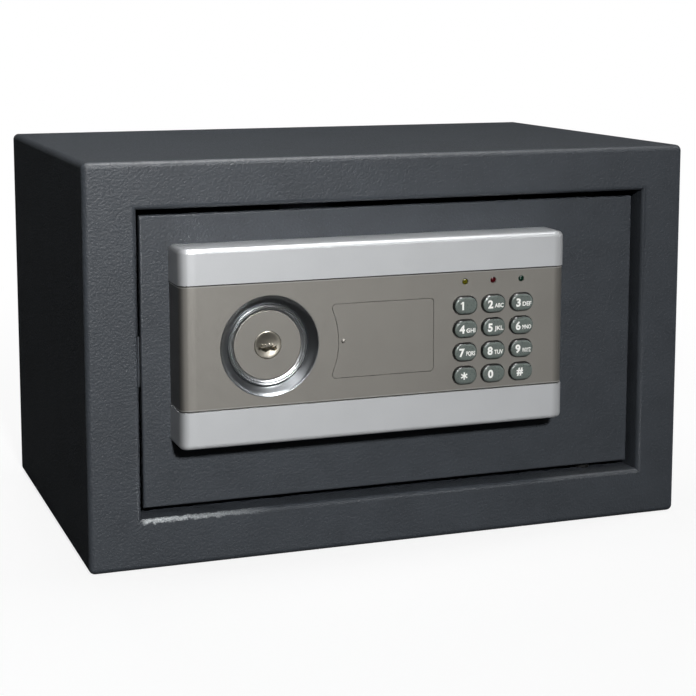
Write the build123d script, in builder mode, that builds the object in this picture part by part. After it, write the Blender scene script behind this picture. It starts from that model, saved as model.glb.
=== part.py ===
"""Compact motorised electronic safe, closed and unlocked. Millimetres, +Z up, front towards -Y.

The origin is the centre of the cabinet's underside. Each piece is its own solid.
"""

from build123d import *
import math
import os

os.makedirs("parts", exist_ok=True)

# Cabinet
cabinet_width = 310.0
cabinet_depth = 196.0
cabinet_height = 193.0
sheet = 2.0  # folded steel of the cabinet
cut_over = 1.0  # how far a cut runs past the faces that it opens
cabinet_bend = 3.0  # outer radius of the front frame and the long bends
frame_left = 25.0  # widths of the four bars of the front frame
frame_right = 22.5
frame_top = 22.5
frame_bottom = 24.5
lip_radius = 2.5  # outer radius where the frame turns into its flange
jamb_depth = 16.0  # flange depth at the sides
lintel_depth = 22.0  # flange depth at the top and bottom, which carry the pivots
back_flange = 12.0
anchor_radius = 5.0
anchor_spacing = 150.0
mat_thickness = 2.0
mat_inset = 3.0
mat_hole_radius = 9.0

# Door
door_recess = 8.0  # from the front frame's face to the door's face
door_thickness = 4.0
door_edge_radius = 1.0
gap_left = 2.8
gap_right = 2.0
gap_top = 3.4
gap_bottom = 3.1
stop_gap = 0.3
stop_thickness = 2.5
stop_reach = 5.0  # how far a stop tab passes over the door's edge
stop_length = 24.0
stop_x = -45.0

# Hinge
pivot_inset = 22.0  # pivot axis from the door's right edge
pivot_stand = 4.5  # pivot axis behind the door plate
pivot_radius = 2.5
running_gap = 0.06  # radial, in every running fit
face_gap = 0.1  # between faces that slide on each other
block_width = 16.0
block_height = 20.0
block_round = 1.5
doubler_thickness = 3.0
doubler_length = 40.0
doubler_gap = 2.0  # from the front frame's hidden face
pin_short = 5.0  # a pin's tip from its hinge block's far face
pin_head_radius = 4.5
pin_head_height = 2.5
washer_radius = 4.4

# Lock cover behind the door
cover_left_margin = 9.2  # from the door's left edge
cover_right_margin = 32.5  # leaves room for the hinge blocks
cover_low_margin = 16.4
cover_top_margin = 15.1
cover_depth = 36.0
cover_sheet = 1.2
cover_bend = 1.5
cover_flange = 9.0
cover_screw_inset = 14.0
screw_radius = 1.65
screw_head_radius = 3.5
screw_head_height = 2.2
screw_head_round = 1.0
screw_clearance = 0.1
blind_skin = 0.8  # steel left in front of a blind hole
tip_gap = 0.4  # from a screw's tip to the end of its hole

# Boltwork
throw = 16.0
bolt_radius = 8.0
bolt_clearance = 1.5  # from the jamb's flange to the thrown bolts
bolt_tip_inset = 0.7  # tip inside the door's edge when drawn
bolt_chamfer = 1.0
bolt_low = 14.0  # bolt axes above the lock cover's lower side and below its upper side
bolt_high = 14.0
bar_inset = 20.0  # bolt bar from the lock cover's left side
bar_width = 90.0
bar_margin = 4.0  # bolt bar from the lock cover's upper and lower sides
bar_sheet = 2.5
bar_stand = 19.0  # bolt bar behind the door plate
bar_round = 4.0
bar_screw_radius = 2.5
bar_screw_depth = 8.0
bar_screw_head = 4.0
bush_wall = 1.0
bush_flange = 1.5
bush_plate = 1.2
bush_inner = 1.8
stud_radius = 5.0
shoulder_radius = 3.0
stud_play = 0.2
stud_head = 2.0
stud_head_radius = 5.5
stud_left = 18.0  # studs from the bolt bar's left edge
stud_right = 62.0
stud_middle = 34.0
stud_low = 12.0  # lower two from the bar's lower edge, third from its upper edge
stud_high = 9.0
slot_end_play = 0.5
slot_side_play = 0.1

# Crank, cam and drive
drive_pin_radius = 2.5
drive_pin_play = 0.5  # on each side of a drive pin in its slot
lever_sheet = 2.5
lever_gap = 2.5  # from the levers to the bolt bar
lever_edge = 3.0
drive_pin_tail = 1.5  # pin behind the bolt bar
crank_hub = 6.0
slot_spare = 1.0  # above and below a drive pin's travel
half_swing = 45.0  # degrees, the pins start and end this far from upright
crank_offset = 40.3  # crank axis to the right of the key lock's axis
shaft_radius = 2.0
shaft_collar = 1.5
gearbox_width = 24.0
gearbox_height = 24.0
gearbox_gap = 1.0
gearbox_round = 2.0
gearbox_screw_inset = 3.0
gearbox_screw_radius = 1.5
gearbox_screw_head = 0.6
bracket_sheet = 1.5
bracket_inset = 2.0  # base plate inside the gearbox's outline
bracket_ear = 8.0
bracket_side = 4.0  # cheeks and ears inside the gearbox's sides
bracket_short = 4.0  # base plate ends before the motor does
cheek_drop = 3.0  # cheeks end in front of the gearbox's back
motor_radius = 6.0
motor_flat = 5.0
motor_length = 30.0
motor_cap_radius = 3.0
motor_cap_length = 1.5

# Fascia, whose front view is measured from the door's left and lower edges
fascia_left_margin = 13.5
fascia_low_margin = 31.2
fascia_width = 196.5
fascia_height = 94.2
fascia_depth = 20.0
fascia_side_round = 4.4
fascia_top_round = 2.5
fascia_low_round = 2.4
band_low = 17.9  # heights of the two silver bands
band_high = 16.9
plate_set_back = 0.35
plate_thickness = 1.75
plate_gap = 0.2
fascia_wall = 2.0
fascia_rim = 2.0
boss_radius = 4.0
fascia_screw_inset = 9.7
fascia_screw_drop = 7.7  # upper screws below the fascia's top
fascia_screw_tip = 1.0
least_round = 0.3
fascia_screw_depth = 10.0

# Emergency lock
lock_from_left = 43.4  # axis from the fascia's left and lower edges
lock_from_low = 46.7
dish_radius = 24.2
dish_inner_radius = 22.0
well_radius = 22.5
bezel_radius = 22.4
bezel_step = 18.9
bezel_bead = 1.1
bezel_fall = 1.9
bezel_gap = 0.05
bezel_lip_gap = 0.3
disc_radius = 16.5
disc_clear = 0.15
disc_drop = 3.6  # disc's face below the fascia plate's face
disc_thickness = 2.0
disc_round = 0.4
barrel_radius = 9.5
plug_radius = 6.6
plug_proud = 0.2
plug_dish = 9.0  # radius of the dished face
plug_lip = 0.6
keyway_length = 8.4
keyway_height = 1.3
keyway_depth = 9.0
keyway_drop = 1.6
barrel_tail = 10.0  # barrel behind the door plate
nut_radius = 13.5
nut_height = 4.0
cam_hub = 8.0
cam_screw_radius = 1.5
cam_screw_depth = 6.0
cam_screw_head = 1.8
cam_screw_head_radius = 4.0
tail_side = 6.0  # square tail that the cam sits on

# Keypad, measured from the fascia's right and lower edges
key_columns = 3
key_rows = 4
key_last_x = 23.9
key_first_z = 25.7
key_pitch_x = 15.0
key_pitch_z = 11.55
key_width = 12.7
key_height = 9.0
key_proud = 2.0
key_round = 1.7
key_gap = 0.2
key_travel = 1.2
key_flange = 0.8
key_flange_thickness = 0.85
key_seat_gap = 0.05
mat_sheet = 1.0
dome_radius = 3.0
dome_gap = 0.2
dome_rise = 3.3  # from a dome's top to the board
board_thickness = 1.6
board_margin_x = 12.0
board_margin_z = 6.0
board_top_margin = 7.0  # above the lamps
keypad_mat_margin = 2.0
led_rise = 11.6  # lamps above the top row of keys
led_radius = 1.5
led_proud = 0.5
led_gap = 0.1
led_flat = 0.3  # radius left flat on a lamp's domed front

# Cover plate over the outside battery contacts
cover_plate_left = 73.4
cover_plate_low = 29.2
cover_plate_to_keys = 10.25
cover_plate_height = 35.5
cover_plate_thickness = 1.5
cover_plate_notch = 4.1
cover_plate_round = 1.8
cover_plate_gap = 0.25
nub_radius = 1.0
nub_inset = 6.4
contact_well_side = 6.25  # well inside the cover plate's sides
contact_well_end = 6.75
contact_spacing = 14.0
contact_radius = 3.2
contact_height = 2.2
contact_round = 0.8
contact_tail = 1.5

# Control board
control_left = 134.0  # from the lock cover's left side
control_low = 4.0  # from the lock cover's lower side
control_width = 76.0
control_height = 38.0
control_stand = 5.0
standoff_radius = 3.0
peg_radius = 1.3
peg_inset = 4.0
ribbon_width = 14.0
ribbon_thickness = 0.8
ribbon_bend = 4.0
ribbon_run = 5.0
ribbon_left = 21.0  # ribbon from the control board's left edge
ribbon_rise = 3.0  # ribbon above the control board
ribbon_play = 0.3
ribbon_plug_depth = 2.5
ribbon_plug_over = 1.0
ribbon_plug_half = 1.5
ribbon_socket_half = 2.5
grommet_side = 2.0
grommet_wall = 1.8
grommet_flange = 1.0
lead_radius = 0.75
lead_bend = 3.0
lead_rise = 4.2  # motor leads above and below the motor's axis
connector_height = 5.4
connector_depth = 8.0
motor_socket = 2.0  # sockets from the control board's left edge
battery_socket = 31.0
socket_width = 10.0
socket_inset = 2.0  # from the board's upper edge
lead_inset = 3.0  # first lead inside its socket
lead_spacing = 4.0
lead_exit_rise = 7.0  # battery leads above the tray's lower side
chip_at = (21.0, 13.0)  # centres on the control board, from its left and lower edges
chip_size = (14.0, 10.0)
chip_height = 2.2
buzzer_at = (36.0, 12.0)
buzzer_radius = 6.0
buzzer_height = 8.0
capacitor_at = (50.0, 30.0)
capacitor_radius = 4.0
capacitor_height = 10.0
relay_at = (64.0, 28.0)
relay_size = (12.0, 8.0)
relay_height = 7.0

# Reset button
reset_from_left = 62.0  # from the control board's left and lower edges
reset_rise = 14.0
reset_radius = 4.0
reset_stem = 3.0
reset_proud = 2.5
reset_travel = 1.2
reset_collar = 1.3
reset_collar_over = 1.5
reset_play = 0.3
reset_gap = 0.2
reset_round = 0.8
switch_side = 6.5
switch_body = 4.0
switch_stem = 1.7
switch_stem_length = 3.0

# Batteries
cell_radius = 7.1
cell_length = 49.2
cell_nub = 1.3
cell_nub_radius = 2.6
cell_pitch = 14.5
cell_count = 4
cell_gap = 0.15
contact_leaf = 0.9
leaf_gap = 0.35
tray_wall = 1.5
tray_right_margin = 8.0
tray_top_margin = 3.5
tray_rim = 1.0
tray_rim_over = 1.5
tray_depth = 20.0
contact_half = 5.0
lid_thickness = 2.2
lid_gap = 0.25
lid_sink = 0.2
lid_seat_gap = 0.05
lid_post_width = 1.0
lid_post_length = 2.0
lid_ridges = 3
ridge_rise = 8.0  # first ridge above the tray's lower side
ridge_pitch = 3.0
ridge_length = 18.0
ridge_width = 1.2
ridge_height = 0.6

# Limit switch
limit_width = 10.0
limit_length = 20.0
limit_foot = 4.0  # height of the foot's base flange
limit_drop = 27.0
limit_blade = 4.7
blade_width = 3.0  # across the bolt bar's edge
blade_height = 2.4
blade_root = 1.0  # blade inside its switch
limit_relief = 2.0  # depth of the step in the switch's side
relief_end = 3.0  # relief ends in front of the bolt bar

# Faces and places that follow from the sizes above
left = -cabinet_width / 2
right = cabinet_width / 2
front = -cabinet_depth / 2
back = cabinet_depth / 2
open_left = left + frame_left
open_right = right - frame_right
open_low = frame_bottom
open_top = cabinet_height - frame_top
door_left = open_left + gap_left
door_right = open_right - gap_right
door_low = open_low + gap_bottom
door_top = open_top - gap_top
door_face = front + door_recess
door_back = door_face + door_thickness
pivot_x = door_right - pivot_inset
pivot_y = door_back + pivot_stand
cover_left = door_left + cover_left_margin
cover_right = door_right - cover_right_margin
cover_low = door_low + cover_low_margin
cover_top = door_top - cover_top_margin
cover_back = door_back + cover_depth
cover_inside = cover_back - cover_sheet
bolt_y = front + jamb_depth + bolt_clearance + bolt_radius
bolt_tip = door_left + bolt_tip_inset
bolt_levels = (cover_low + bolt_low, cover_top - bolt_high)
bar_left = cover_left + bar_inset
bar_right = bar_left + bar_width
bar_low = cover_low + bar_margin
bar_top = cover_top - bar_margin
bar_front = door_back + bar_stand
bar_back = bar_front + bar_sheet
fascia_left = door_left + fascia_left_margin
fascia_right = fascia_left + fascia_width
fascia_low = door_low + fascia_low_margin
fascia_top = fascia_low + fascia_height
fascia_front = door_face - fascia_depth
middle_low = fascia_low + band_low
middle_top = fascia_top - band_high
plate_front = fascia_front + plate_set_back
plate_back = plate_front + plate_thickness
wall_back = plate_back + fascia_wall
lock_x = fascia_left + lock_from_left
lock_z = fascia_low + lock_from_low
disc_front = plate_front + disc_drop
disc_back = disc_front + disc_thickness
well_back = disc_back + fascia_wall
barrel_back = door_back + barrel_tail
lever_back = bar_front - lever_gap
lever_front = lever_back - lever_sheet
swing_radius = throw / 2 / math.sin(math.radians(half_swing))
crank_x = lock_x + crank_offset
crank_z = lock_z
key_span = (key_columns - 1) * key_pitch_x
key_first = (fascia_right - key_last_x - key_span, fascia_low + key_first_z)
key_front = plate_front - key_proud
key_back = wall_back + key_flange_thickness + key_seat_gap
dome_top = key_back + key_travel + dome_gap
keypad_width = key_span + key_width
keypad_height = (key_rows - 1) * key_pitch_z + key_height
keypad_left = key_first[0] - key_width / 2
keypad_low = key_first[1] - key_height / 2
led_z = keypad_low + keypad_height - key_height / 2 + led_rise
board_front = dome_top + dome_rise
board_back = board_front + board_thickness
board_left = keypad_left - board_margin_x
board_right = keypad_left + keypad_width + board_margin_x
board_low = keypad_low - board_margin_z
board_top = led_z + board_top_margin
control_x = cover_left + control_left
control_z = cover_low + control_low
control_front = door_back + control_stand
control_back = control_front + board_thickness
tray_right = cover_right - tray_right_margin
tray_inner_width = cell_count * cell_pitch + 2 * cell_gap
tray_left = tray_right - tray_inner_width - 2 * tray_wall
tray_top = cover_top - tray_top_margin
tray_inner_height = cell_length + cell_nub + 2 * (contact_leaf + leaf_gap)
tray_low = tray_top - tray_inner_height - 2 * tray_wall
tray_floor = cover_back - tray_depth + tray_wall


def front_plane(y):
    """A plane at y whose sketches are seen from the front: x to the right, z up."""
    return Plane.XZ.offset(-y)


def slab(x0, x1, y0, y1, z0, z1, mode=Mode.ADD):
    """A box between two corners."""
    with Locations(((x0 + x1) / 2, (y0 + y1) / 2, (z0 + z1) / 2)):
        Box(x1 - x0, y1 - y0, z1 - z0, mode=mode)


def rod_x(x0, x1, y, z, radius, mode=Mode.ADD):
    """A round rod along X."""
    with Locations(((x0 + x1) / 2, y, z)):
        Cylinder(radius, x1 - x0, rotation=(0, 90, 0), mode=mode)


def rod_y(x, y0, y1, z, radius, mode=Mode.ADD):
    """A round rod along Y."""
    with Locations((x, (y0 + y1) / 2, z)):
        Cylinder(radius, y1 - y0, rotation=(90, 0, 0), mode=mode)


def rod_z(x, y, z0, z1, radius, mode=Mode.ADD):
    """A round rod along Z."""
    with Locations((x, y, (z0 + z1) / 2)):
        Cylinder(radius, z1 - z0, mode=mode)


def finish(piece, name):
    """Label a finished piece and write it."""
    piece.part.label = name
    export_step(piece.part, f"parts/{name}.step")


# Cabinet shell: wrap, front frame and flange in one welded piece
with BuildPart() as cabinet_shell:
    slab(left, right, front, back, 0, cabinet_height)
    long_edges = cabinet_shell.edges().filter_by(Axis.Y)
    front_edges = cabinet_shell.edges().group_by(Axis.Y)[0]
    fillet(long_edges + front_edges, cabinet_bend)
    slab(
        left + sheet,
        right - sheet,
        front + sheet,
        back + sheet,
        sheet,
        cabinet_height - sheet,
        Mode.SUBTRACT,
    )
    slab(open_left, open_right, front - sheet, front + 2 * sheet, open_low, open_top, Mode.SUBTRACT)
    for x0 in (open_left - sheet, open_right):
        slab(x0, x0 + sheet, front + sheet, front + jamb_depth, open_low - sheet, open_top + sheet)
    for z0 in (open_low - sheet, open_top):
        slab(open_left - sheet, open_right + sheet, front + sheet, front + lintel_depth, z0, z0 + sheet)
    fillet(cabinet_shell.faces().sort_by(Axis.Y)[0].inner_wires()[0].edges(), lip_radius)
    bore_low = open_low - 2 * sheet
    bore_top = open_top + 2 * sheet
    rod_z(pivot_x, pivot_y, bore_low, bore_top, pivot_radius + running_gap, Mode.SUBTRACT)
    for side in (-1, 1):
        rod_z(side * anchor_spacing / 2, 0, -sheet, 2 * sheet, anchor_radius, Mode.SUBTRACT)
finish(cabinet_shell, "cabinet_shell")

# Dished back panel, welded inside the wrap
with BuildPart() as back_panel:
    slab(left + sheet, right - sheet, back - back_flange, back, sheet, cabinet_height - sheet)
    inner = 2 * sheet
    slab(
        left + inner,
        right - inner,
        back - 2 * back_flange,
        back - sheet,
        inner,
        cabinet_height - inner,
        Mode.SUBTRACT,
    )
    for side in (-1, 1):
        x = side * anchor_spacing / 2
        rod_y(x, back - 2 * sheet, back + sheet, cabinet_height / 2, anchor_radius, Mode.SUBTRACT)
finish(back_panel, "back_panel")

# Doublers on the hidden sides of the top and bottom flanges
doubler_front = front + sheet + doubler_gap
with BuildPart() as hinge_plates:
    for z0 in (open_low - sheet - doubler_thickness, open_top + sheet):
        x0 = pivot_x - doubler_length / 2
        slab(x0, x0 + doubler_length, doubler_front, front + lintel_depth, z0, z0 + doubler_thickness)
    rod_z(pivot_x, pivot_y, 0, cabinet_height, pivot_radius + running_gap, Mode.SUBTRACT)
finish(hinge_plates, "hinge_plates")

# Pivot pins, each with its head on a doubler and its tip in a hinge block
pin_top = open_top + sheet + doubler_thickness
pin_low = open_low - sheet - doubler_thickness
pin_reach = block_height - pin_short
with BuildPart() as hinge_pins:
    rod_z(pivot_x, pivot_y, door_top - pin_reach, pin_top, pivot_radius)
    rod_z(pivot_x, pivot_y, pin_top, pin_top + pin_head_height, pin_head_radius)
    rod_z(pivot_x, pivot_y, pin_low, door_low + pin_reach, pivot_radius)
    rod_z(pivot_x, pivot_y, pin_low - pin_head_height, pin_low, pin_head_radius)
finish(hinge_pins, "hinge_pins")

# Stop tabs on the lock side's jamb and on the top flange
stop_front = door_back + stop_gap
stop_back = stop_front + stop_thickness
stop_z = (open_low + open_top) / 2
with BuildPart() as door_stops:
    half = stop_length / 2
    slab(open_left, door_left + stop_reach, stop_front, stop_back, stop_z - half, stop_z + half)
    slab(stop_x - half, stop_x + half, stop_front, stop_back, door_top - stop_reach, open_top)
finish(door_stops, "door_stops")

# Felt mat with holes over the floor's anchor holes
mat_front = front + lintel_depth + mat_inset
mat_back = back - back_flange - mat_inset
with BuildPart() as floor_mat:
    mat_edge = sheet + mat_inset
    slab(left + mat_edge, right - mat_edge, mat_front, mat_back, sheet, sheet + mat_thickness)
    fillet(floor_mat.edges().filter_by(Axis.Z), mat_inset)
    for side in (-1, 1):
        rod_z(side * anchor_spacing / 2, 0, 0, sheet + 2 * mat_thickness, mat_hole_radius, Mode.SUBTRACT)
finish(floor_mat, "floor_mat")

# Places of the screws and studs on the door plate
fascia_screws_at = [
    (x, z)
    for x in (fascia_left + fascia_screw_inset, fascia_right - fascia_screw_inset)
    for z in (fascia_low + fascia_screw_inset, fascia_top - fascia_screw_drop)
]
cover_screws_at = [
    (x, z)
    for x in (cover_left + cover_screw_inset, cover_right - cover_screw_inset)
    for z in (cover_low - cover_flange / 2, cover_top + cover_flange / 2)
]
standoffs_at = [
    (x, z)
    for x in (control_x + peg_inset, control_x + control_width - peg_inset)
    for z in (control_z + peg_inset, control_z + control_height - peg_inset)
]
ribbon_x = control_x + ribbon_left
ribbon_z = control_z + control_height + ribbon_rise
grommet_width = ribbon_width + 2 * grommet_side
grommet_height = ribbon_thickness + 2 * grommet_wall

with BuildPart() as door_plate:
    slab(door_left, door_right, door_face, door_back, door_low, door_top)
    fillet(door_plate.edges().group_by(Axis.Y)[0], door_edge_radius)
    for x, z in standoffs_at:
        rod_y(x, door_back, control_front, z, standoff_radius)
        rod_y(x, control_front, control_back, z, peg_radius)
    cut_front = door_face - cut_over
    cut_back = door_back + cut_over
    rod_y(lock_x, cut_front, cut_back, lock_z, barrel_radius + screw_clearance, Mode.SUBTRACT)
    for x, z in fascia_screws_at:
        rod_y(x, cut_front, cut_back, z, screw_radius + screw_clearance, Mode.SUBTRACT)
    for x, z in cover_screws_at:
        blind_front = door_face + blind_skin
        rod_y(x, blind_front, cut_back, z, screw_radius + screw_clearance, Mode.SUBTRACT)
    with BuildSketch(front_plane(door_face)):
        with Locations((ribbon_x, ribbon_z)):
            SlotOverall(grommet_width, grommet_height)
    extrude(amount=-2 * door_thickness, both=True, mode=Mode.SUBTRACT)
finish(door_plate, "door_plate")

# Hinge blocks welded behind the door's right corners
with BuildPart() as hinge_blocks:
    for z0 in (door_low, door_top - block_height):
        x0 = pivot_x - block_width / 2
        slab(x0, x0 + block_width, door_back, door_back + 2 * pivot_stand, z0, z0 + block_height)
    rear_edges = hinge_blocks.edges().filter_by(Axis.Z).group_by(Axis.Y)[-1]
    fillet(rear_edges, block_round)
    rod_z(pivot_x, pivot_y, 0, cabinet_height, pivot_radius + running_gap, Mode.SUBTRACT)
finish(hinge_blocks, "hinge_blocks")

with BuildPart() as hinge_washers:
    rod_z(pivot_x, pivot_y, door_top, open_top - face_gap, washer_radius)
    rod_z(pivot_x, pivot_y, open_low + face_gap, door_low, washer_radius)
    rod_z(pivot_x, pivot_y, 0, cabinet_height, pivot_radius + running_gap, Mode.SUBTRACT)
finish(hinge_washers, "hinge_washers")

# Lock cover: folded box, open towards the door plate, with windows for what passes through it
reset_x = control_x + reset_from_left
reset_z = control_z + reset_rise
bush_radius = bolt_radius + running_gap + bush_wall
with BuildPart() as lock_cover:
    slab(cover_left, cover_right, door_back, cover_back, cover_low, cover_top)
    fillet(lock_cover.edges().group_by(Axis.Y)[-1], cover_bend)
    for z0 in (cover_low - cover_flange, cover_top - cover_flange):
        slab(cover_left, cover_right, door_back, door_back + cover_sheet, z0, z0 + 2 * cover_flange)
    slab(
        cover_left + cover_sheet,
        cover_right - cover_sheet,
        door_back - cut_over,
        cover_inside,
        cover_low + cover_sheet,
        cover_top - cover_sheet,
        Mode.SUBTRACT,
    )
    for z in bolt_levels:
        rod_x(cover_left - cut_over, cover_left + 2 * cover_sheet, bolt_y, z, bush_radius, Mode.SUBTRACT)
    cut_front = cover_inside - cut_over
    cut_back = cover_back + cut_over
    slab(tray_left, tray_right, cut_front, cut_back, tray_low, tray_top, Mode.SUBTRACT)
    rod_y(reset_x, cut_front, cut_back, reset_z, reset_stem + reset_play, Mode.SUBTRACT)
    for x, z in cover_screws_at:
        hole_back = door_back + 2 * cover_sheet
        rod_y(x, door_back - cut_over, hole_back, z, screw_radius + screw_clearance, Mode.SUBTRACT)
finish(lock_cover, "lock_cover")

with BuildPart() as cover_screws:
    seat = door_back + cover_sheet
    for x, z in cover_screws_at:
        rod_y(x, door_face + blind_skin + tip_gap, seat, z, screw_radius)
        rod_y(x, seat, seat + screw_head_height, z, screw_head_radius)
    fillet(cover_screws.edges().group_by(Axis.Y)[-1], screw_head_round)
finish(cover_screws, "cover_screws")

# Bolts, with the bar that carries them
bar_flange_back = bar_left + bar_sheet
with BuildPart() as bolts:
    for z in bolt_levels:
        rod_x(bolt_tip, bar_left, bolt_y, z, bolt_radius)
    chamfer(bolts.edges().group_by(Axis.X)[0], bolt_chamfer)
    for z in bolt_levels:
        rod_x(bar_left - bar_screw_depth, bar_left, bolt_y, z, bar_screw_radius, Mode.SUBTRACT)
finish(bolts, "bolts")

with BuildPart() as bolt_screws:
    for z in bolt_levels:
        rod_x(bar_left - bar_screw_depth, bar_flange_back, bolt_y, z, bar_screw_radius)
        rod_x(bar_flange_back, bar_flange_back + screw_head_height, bolt_y, z, bar_screw_head)
finish(bolt_screws, "bolt_screws")

with BuildPart() as bolt_bushes:
    for z in bolt_levels:
        rod_x(cover_left - bush_plate, cover_left, bolt_y, z, bush_radius + bush_flange)
        rod_x(cover_left, cover_left + cover_sheet + bush_inner, bolt_y, z, bush_radius)
        bore_left = cover_left - bush_plate - cut_over
        bore_right = cover_left + cover_sheet + bush_inner + cut_over
        rod_x(bore_left, bore_right, bolt_y, z, bolt_radius + running_gap, Mode.SUBTRACT)
finish(bolt_bushes, "bolt_bushes")

studs_at = (
    (bar_left + stud_left, bar_low + stud_low),
    (bar_left + stud_right, bar_low + stud_low),
    (bar_left + stud_middle, bar_top - stud_high),
)
pin_side = swing_radius * math.sin(math.radians(half_swing))
pin_rise = swing_radius * math.cos(math.radians(half_swing))
slot_low = pin_rise - drive_pin_radius - slot_spare
slot_top = swing_radius + drive_pin_radius + slot_spare
slot_width = 2 * (drive_pin_radius + drive_pin_play)
with BuildPart() as bolt_bar:
    slab(bar_left, bar_right, bar_front, bar_back, bar_low, bar_top)
    fillet(bolt_bar.edges().filter_by(Axis.Y).group_by(Axis.X)[-1], bar_round)
    slab(bar_left, bar_flange_back, bolt_y - bolt_radius, bar_back, bar_low, bar_top)
    with BuildSketch(front_plane(bar_front)):
        for x, z in studs_at:
            with Locations((x + throw / 2, z)):
                slot_length = throw + 2 * (shoulder_radius + slot_end_play)
                SlotOverall(slot_length, 2 * (shoulder_radius + slot_side_play))
        for axis_x in (lock_x, crank_x):
            with Locations((axis_x + pin_side, lock_z + (slot_low + slot_top) / 2)):
                SlotOverall(slot_top - slot_low, slot_width, rotation=90)
    extrude(amount=-bar_sheet, mode=Mode.SUBTRACT)
    for z in bolt_levels:
        hole_radius = bar_screw_radius + screw_clearance
        rod_x(bar_left - cut_over, bar_flange_back + cut_over, bolt_y, z, hole_radius, Mode.SUBTRACT)
finish(bolt_bar, "bolt_bar")

# Shoulder studs that carry the bolt bar
with BuildPart() as guide_studs:
    for x, z in studs_at:
        rod_y(x, door_back, bar_front - stud_play, z, stud_radius)
        rod_y(x, bar_front - stud_play, bar_back + stud_play, z, shoulder_radius)
        rod_y(x, bar_back + stud_play, bar_back + stud_play + stud_head, z, stud_head_radius)
finish(guide_studs, "guide_studs")


def lever(axis_x, hub, hole):
    """A lever with a hole at its axis and a pin that stands back through the bolt bar."""
    pin_at = (axis_x + pin_side, lock_z + pin_rise)
    with BuildPart() as piece:
        with BuildSketch(front_plane(lever_front)):
            with Locations((axis_x, lock_z)):
                Circle(hub)
            with Locations(pin_at):
                Circle(drive_pin_radius + lever_edge)
            make_hull()
            with Locations((axis_x, lock_z)):
                add(hole, mode=Mode.SUBTRACT)
        extrude(amount=-lever_sheet)
        rod_y(pin_at[0], lever_back, bar_back + drive_pin_tail, pin_at[1], drive_pin_radius)
    return piece


# Crank on the gearbox's shaft
crank = lever(crank_x, crank_hub, Circle(shaft_radius + running_gap, mode=Mode.PRIVATE))
finish(crank, "crank")

# Gearbox, with the motor on its right
gearbox_back = lever_front - gearbox_gap
gearbox_front = door_back + bracket_sheet
gear_left = crank_x - gearbox_width / 2
gear_right = crank_x + gearbox_width / 2
gear_low = crank_z - gearbox_height / 2
gear_top = crank_z + gearbox_height / 2
with BuildPart() as gearbox:
    slab(gear_left, gear_right, gearbox_front, gearbox_back, gear_low, gear_top)
    fillet(gearbox.edges().filter_by(Axis.Y), gearbox_round)
    for sx in (-1, 1):
        for sz in (-1, 1):
            x = crank_x + sx * (gearbox_width / 2 - gearbox_screw_inset)
            z = crank_z + sz * (gearbox_height / 2 - gearbox_screw_inset)
            rod_y(x, gearbox_back, gearbox_back + gearbox_screw_head, z, gearbox_screw_radius)
    rod_y(crank_x, gearbox_back, lever_front - face_gap, crank_z, shaft_radius + shaft_collar)
    rod_y(crank_x, gearbox_back, lever_back, crank_z, shaft_radius)
finish(gearbox, "gearbox")

motor_y = gearbox_front + motor_radius
with BuildPart() as motor:
    rod_x(gear_right, gear_right + motor_length, motor_y, crank_z, motor_radius)
    slab(
        gear_right - cut_over,
        gear_right + motor_length + cut_over,
        motor_y - motor_radius,
        motor_y + motor_radius,
        crank_z - motor_flat,
        crank_z + motor_flat,
        Mode.INTERSECT,
    )
    motor_end = gear_right + motor_length
    rod_x(motor_end, motor_end + motor_cap_length, motor_y, crank_z, motor_cap_radius)
finish(motor, "motor")

with BuildPart() as motor_bracket:
    base_right = motor_end - bracket_short
    base_low = gear_low + bracket_inset
    base_top = gear_top - bracket_inset
    slab(gear_left + bracket_inset, base_right, door_back, gearbox_front, base_low, base_top)
    cheek_left = gear_left + bracket_side
    cheek_right = gear_right - bracket_side
    for z0 in (gear_low - bracket_sheet, gear_top):
        slab(cheek_left, cheek_right, door_back, gearbox_back - cheek_drop, z0, z0 + bracket_sheet)
    ear = bracket_sheet + bracket_ear
    slab(cheek_left, cheek_right, door_back, gearbox_front, gear_low - ear, gear_top + ear)
finish(motor_bracket, "motor_bracket")

# Limit switch on its foot, with a blade that the drawn bolt bar presses
limit_left = bar_right + limit_blade + stop_gap
limit_z = lock_z - limit_drop
with BuildPart() as limit_switch:
    limit_low = limit_z - limit_length / 2
    limit_top = limit_z + limit_length / 2
    slab(limit_left, limit_left + limit_width, door_back, bar_back, limit_low, limit_top)
    blade_low = limit_z - blade_height
    blade_right = limit_left + blade_root
    slab(limit_left - limit_blade, blade_right, bar_back - blade_width, bar_back, blade_low, limit_z)
    slab(
        limit_left - cut_over,
        limit_left + limit_relief,
        door_back + limit_foot,
        bar_front - relief_end,
        limit_low - cut_over,
        limit_top + cut_over,
        Mode.SUBTRACT,
    )
finish(limit_switch, "limit_switch")


def fascia_block(inset, low, top):
    """The fascia's plan, drawn in by a wall and raised between two levels."""
    with BuildPart() as block:
        with BuildSketch(Plane.XY.offset(low)) as plan:
            with Locations(((fascia_left + fascia_right) / 2, (fascia_front + inset + door_face) / 2)):
                Rectangle(fascia_width - 2 * inset, fascia_depth - inset)
            fillet(plan.vertices().group_by(Axis.Y)[0], max(fascia_side_round - inset, least_round))
        extrude(amount=top - low)
    return block.part


def key_outline(extra, columns, rows):
    """Key holes or flanges, each larger than a key by extra on every side."""
    with BuildSketch(front_plane(fascia_front - cut_over)) as outline:
        for column in range(columns):
            for row in range(rows):
                x = key_first[0] + column * key_pitch_x
                z = key_first[1] + row * key_pitch_z
                with Locations((x, z)):
                    SlotOverall(key_width + 2 * extra, key_height + 2 * extra)
    return outline.sketch


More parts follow.
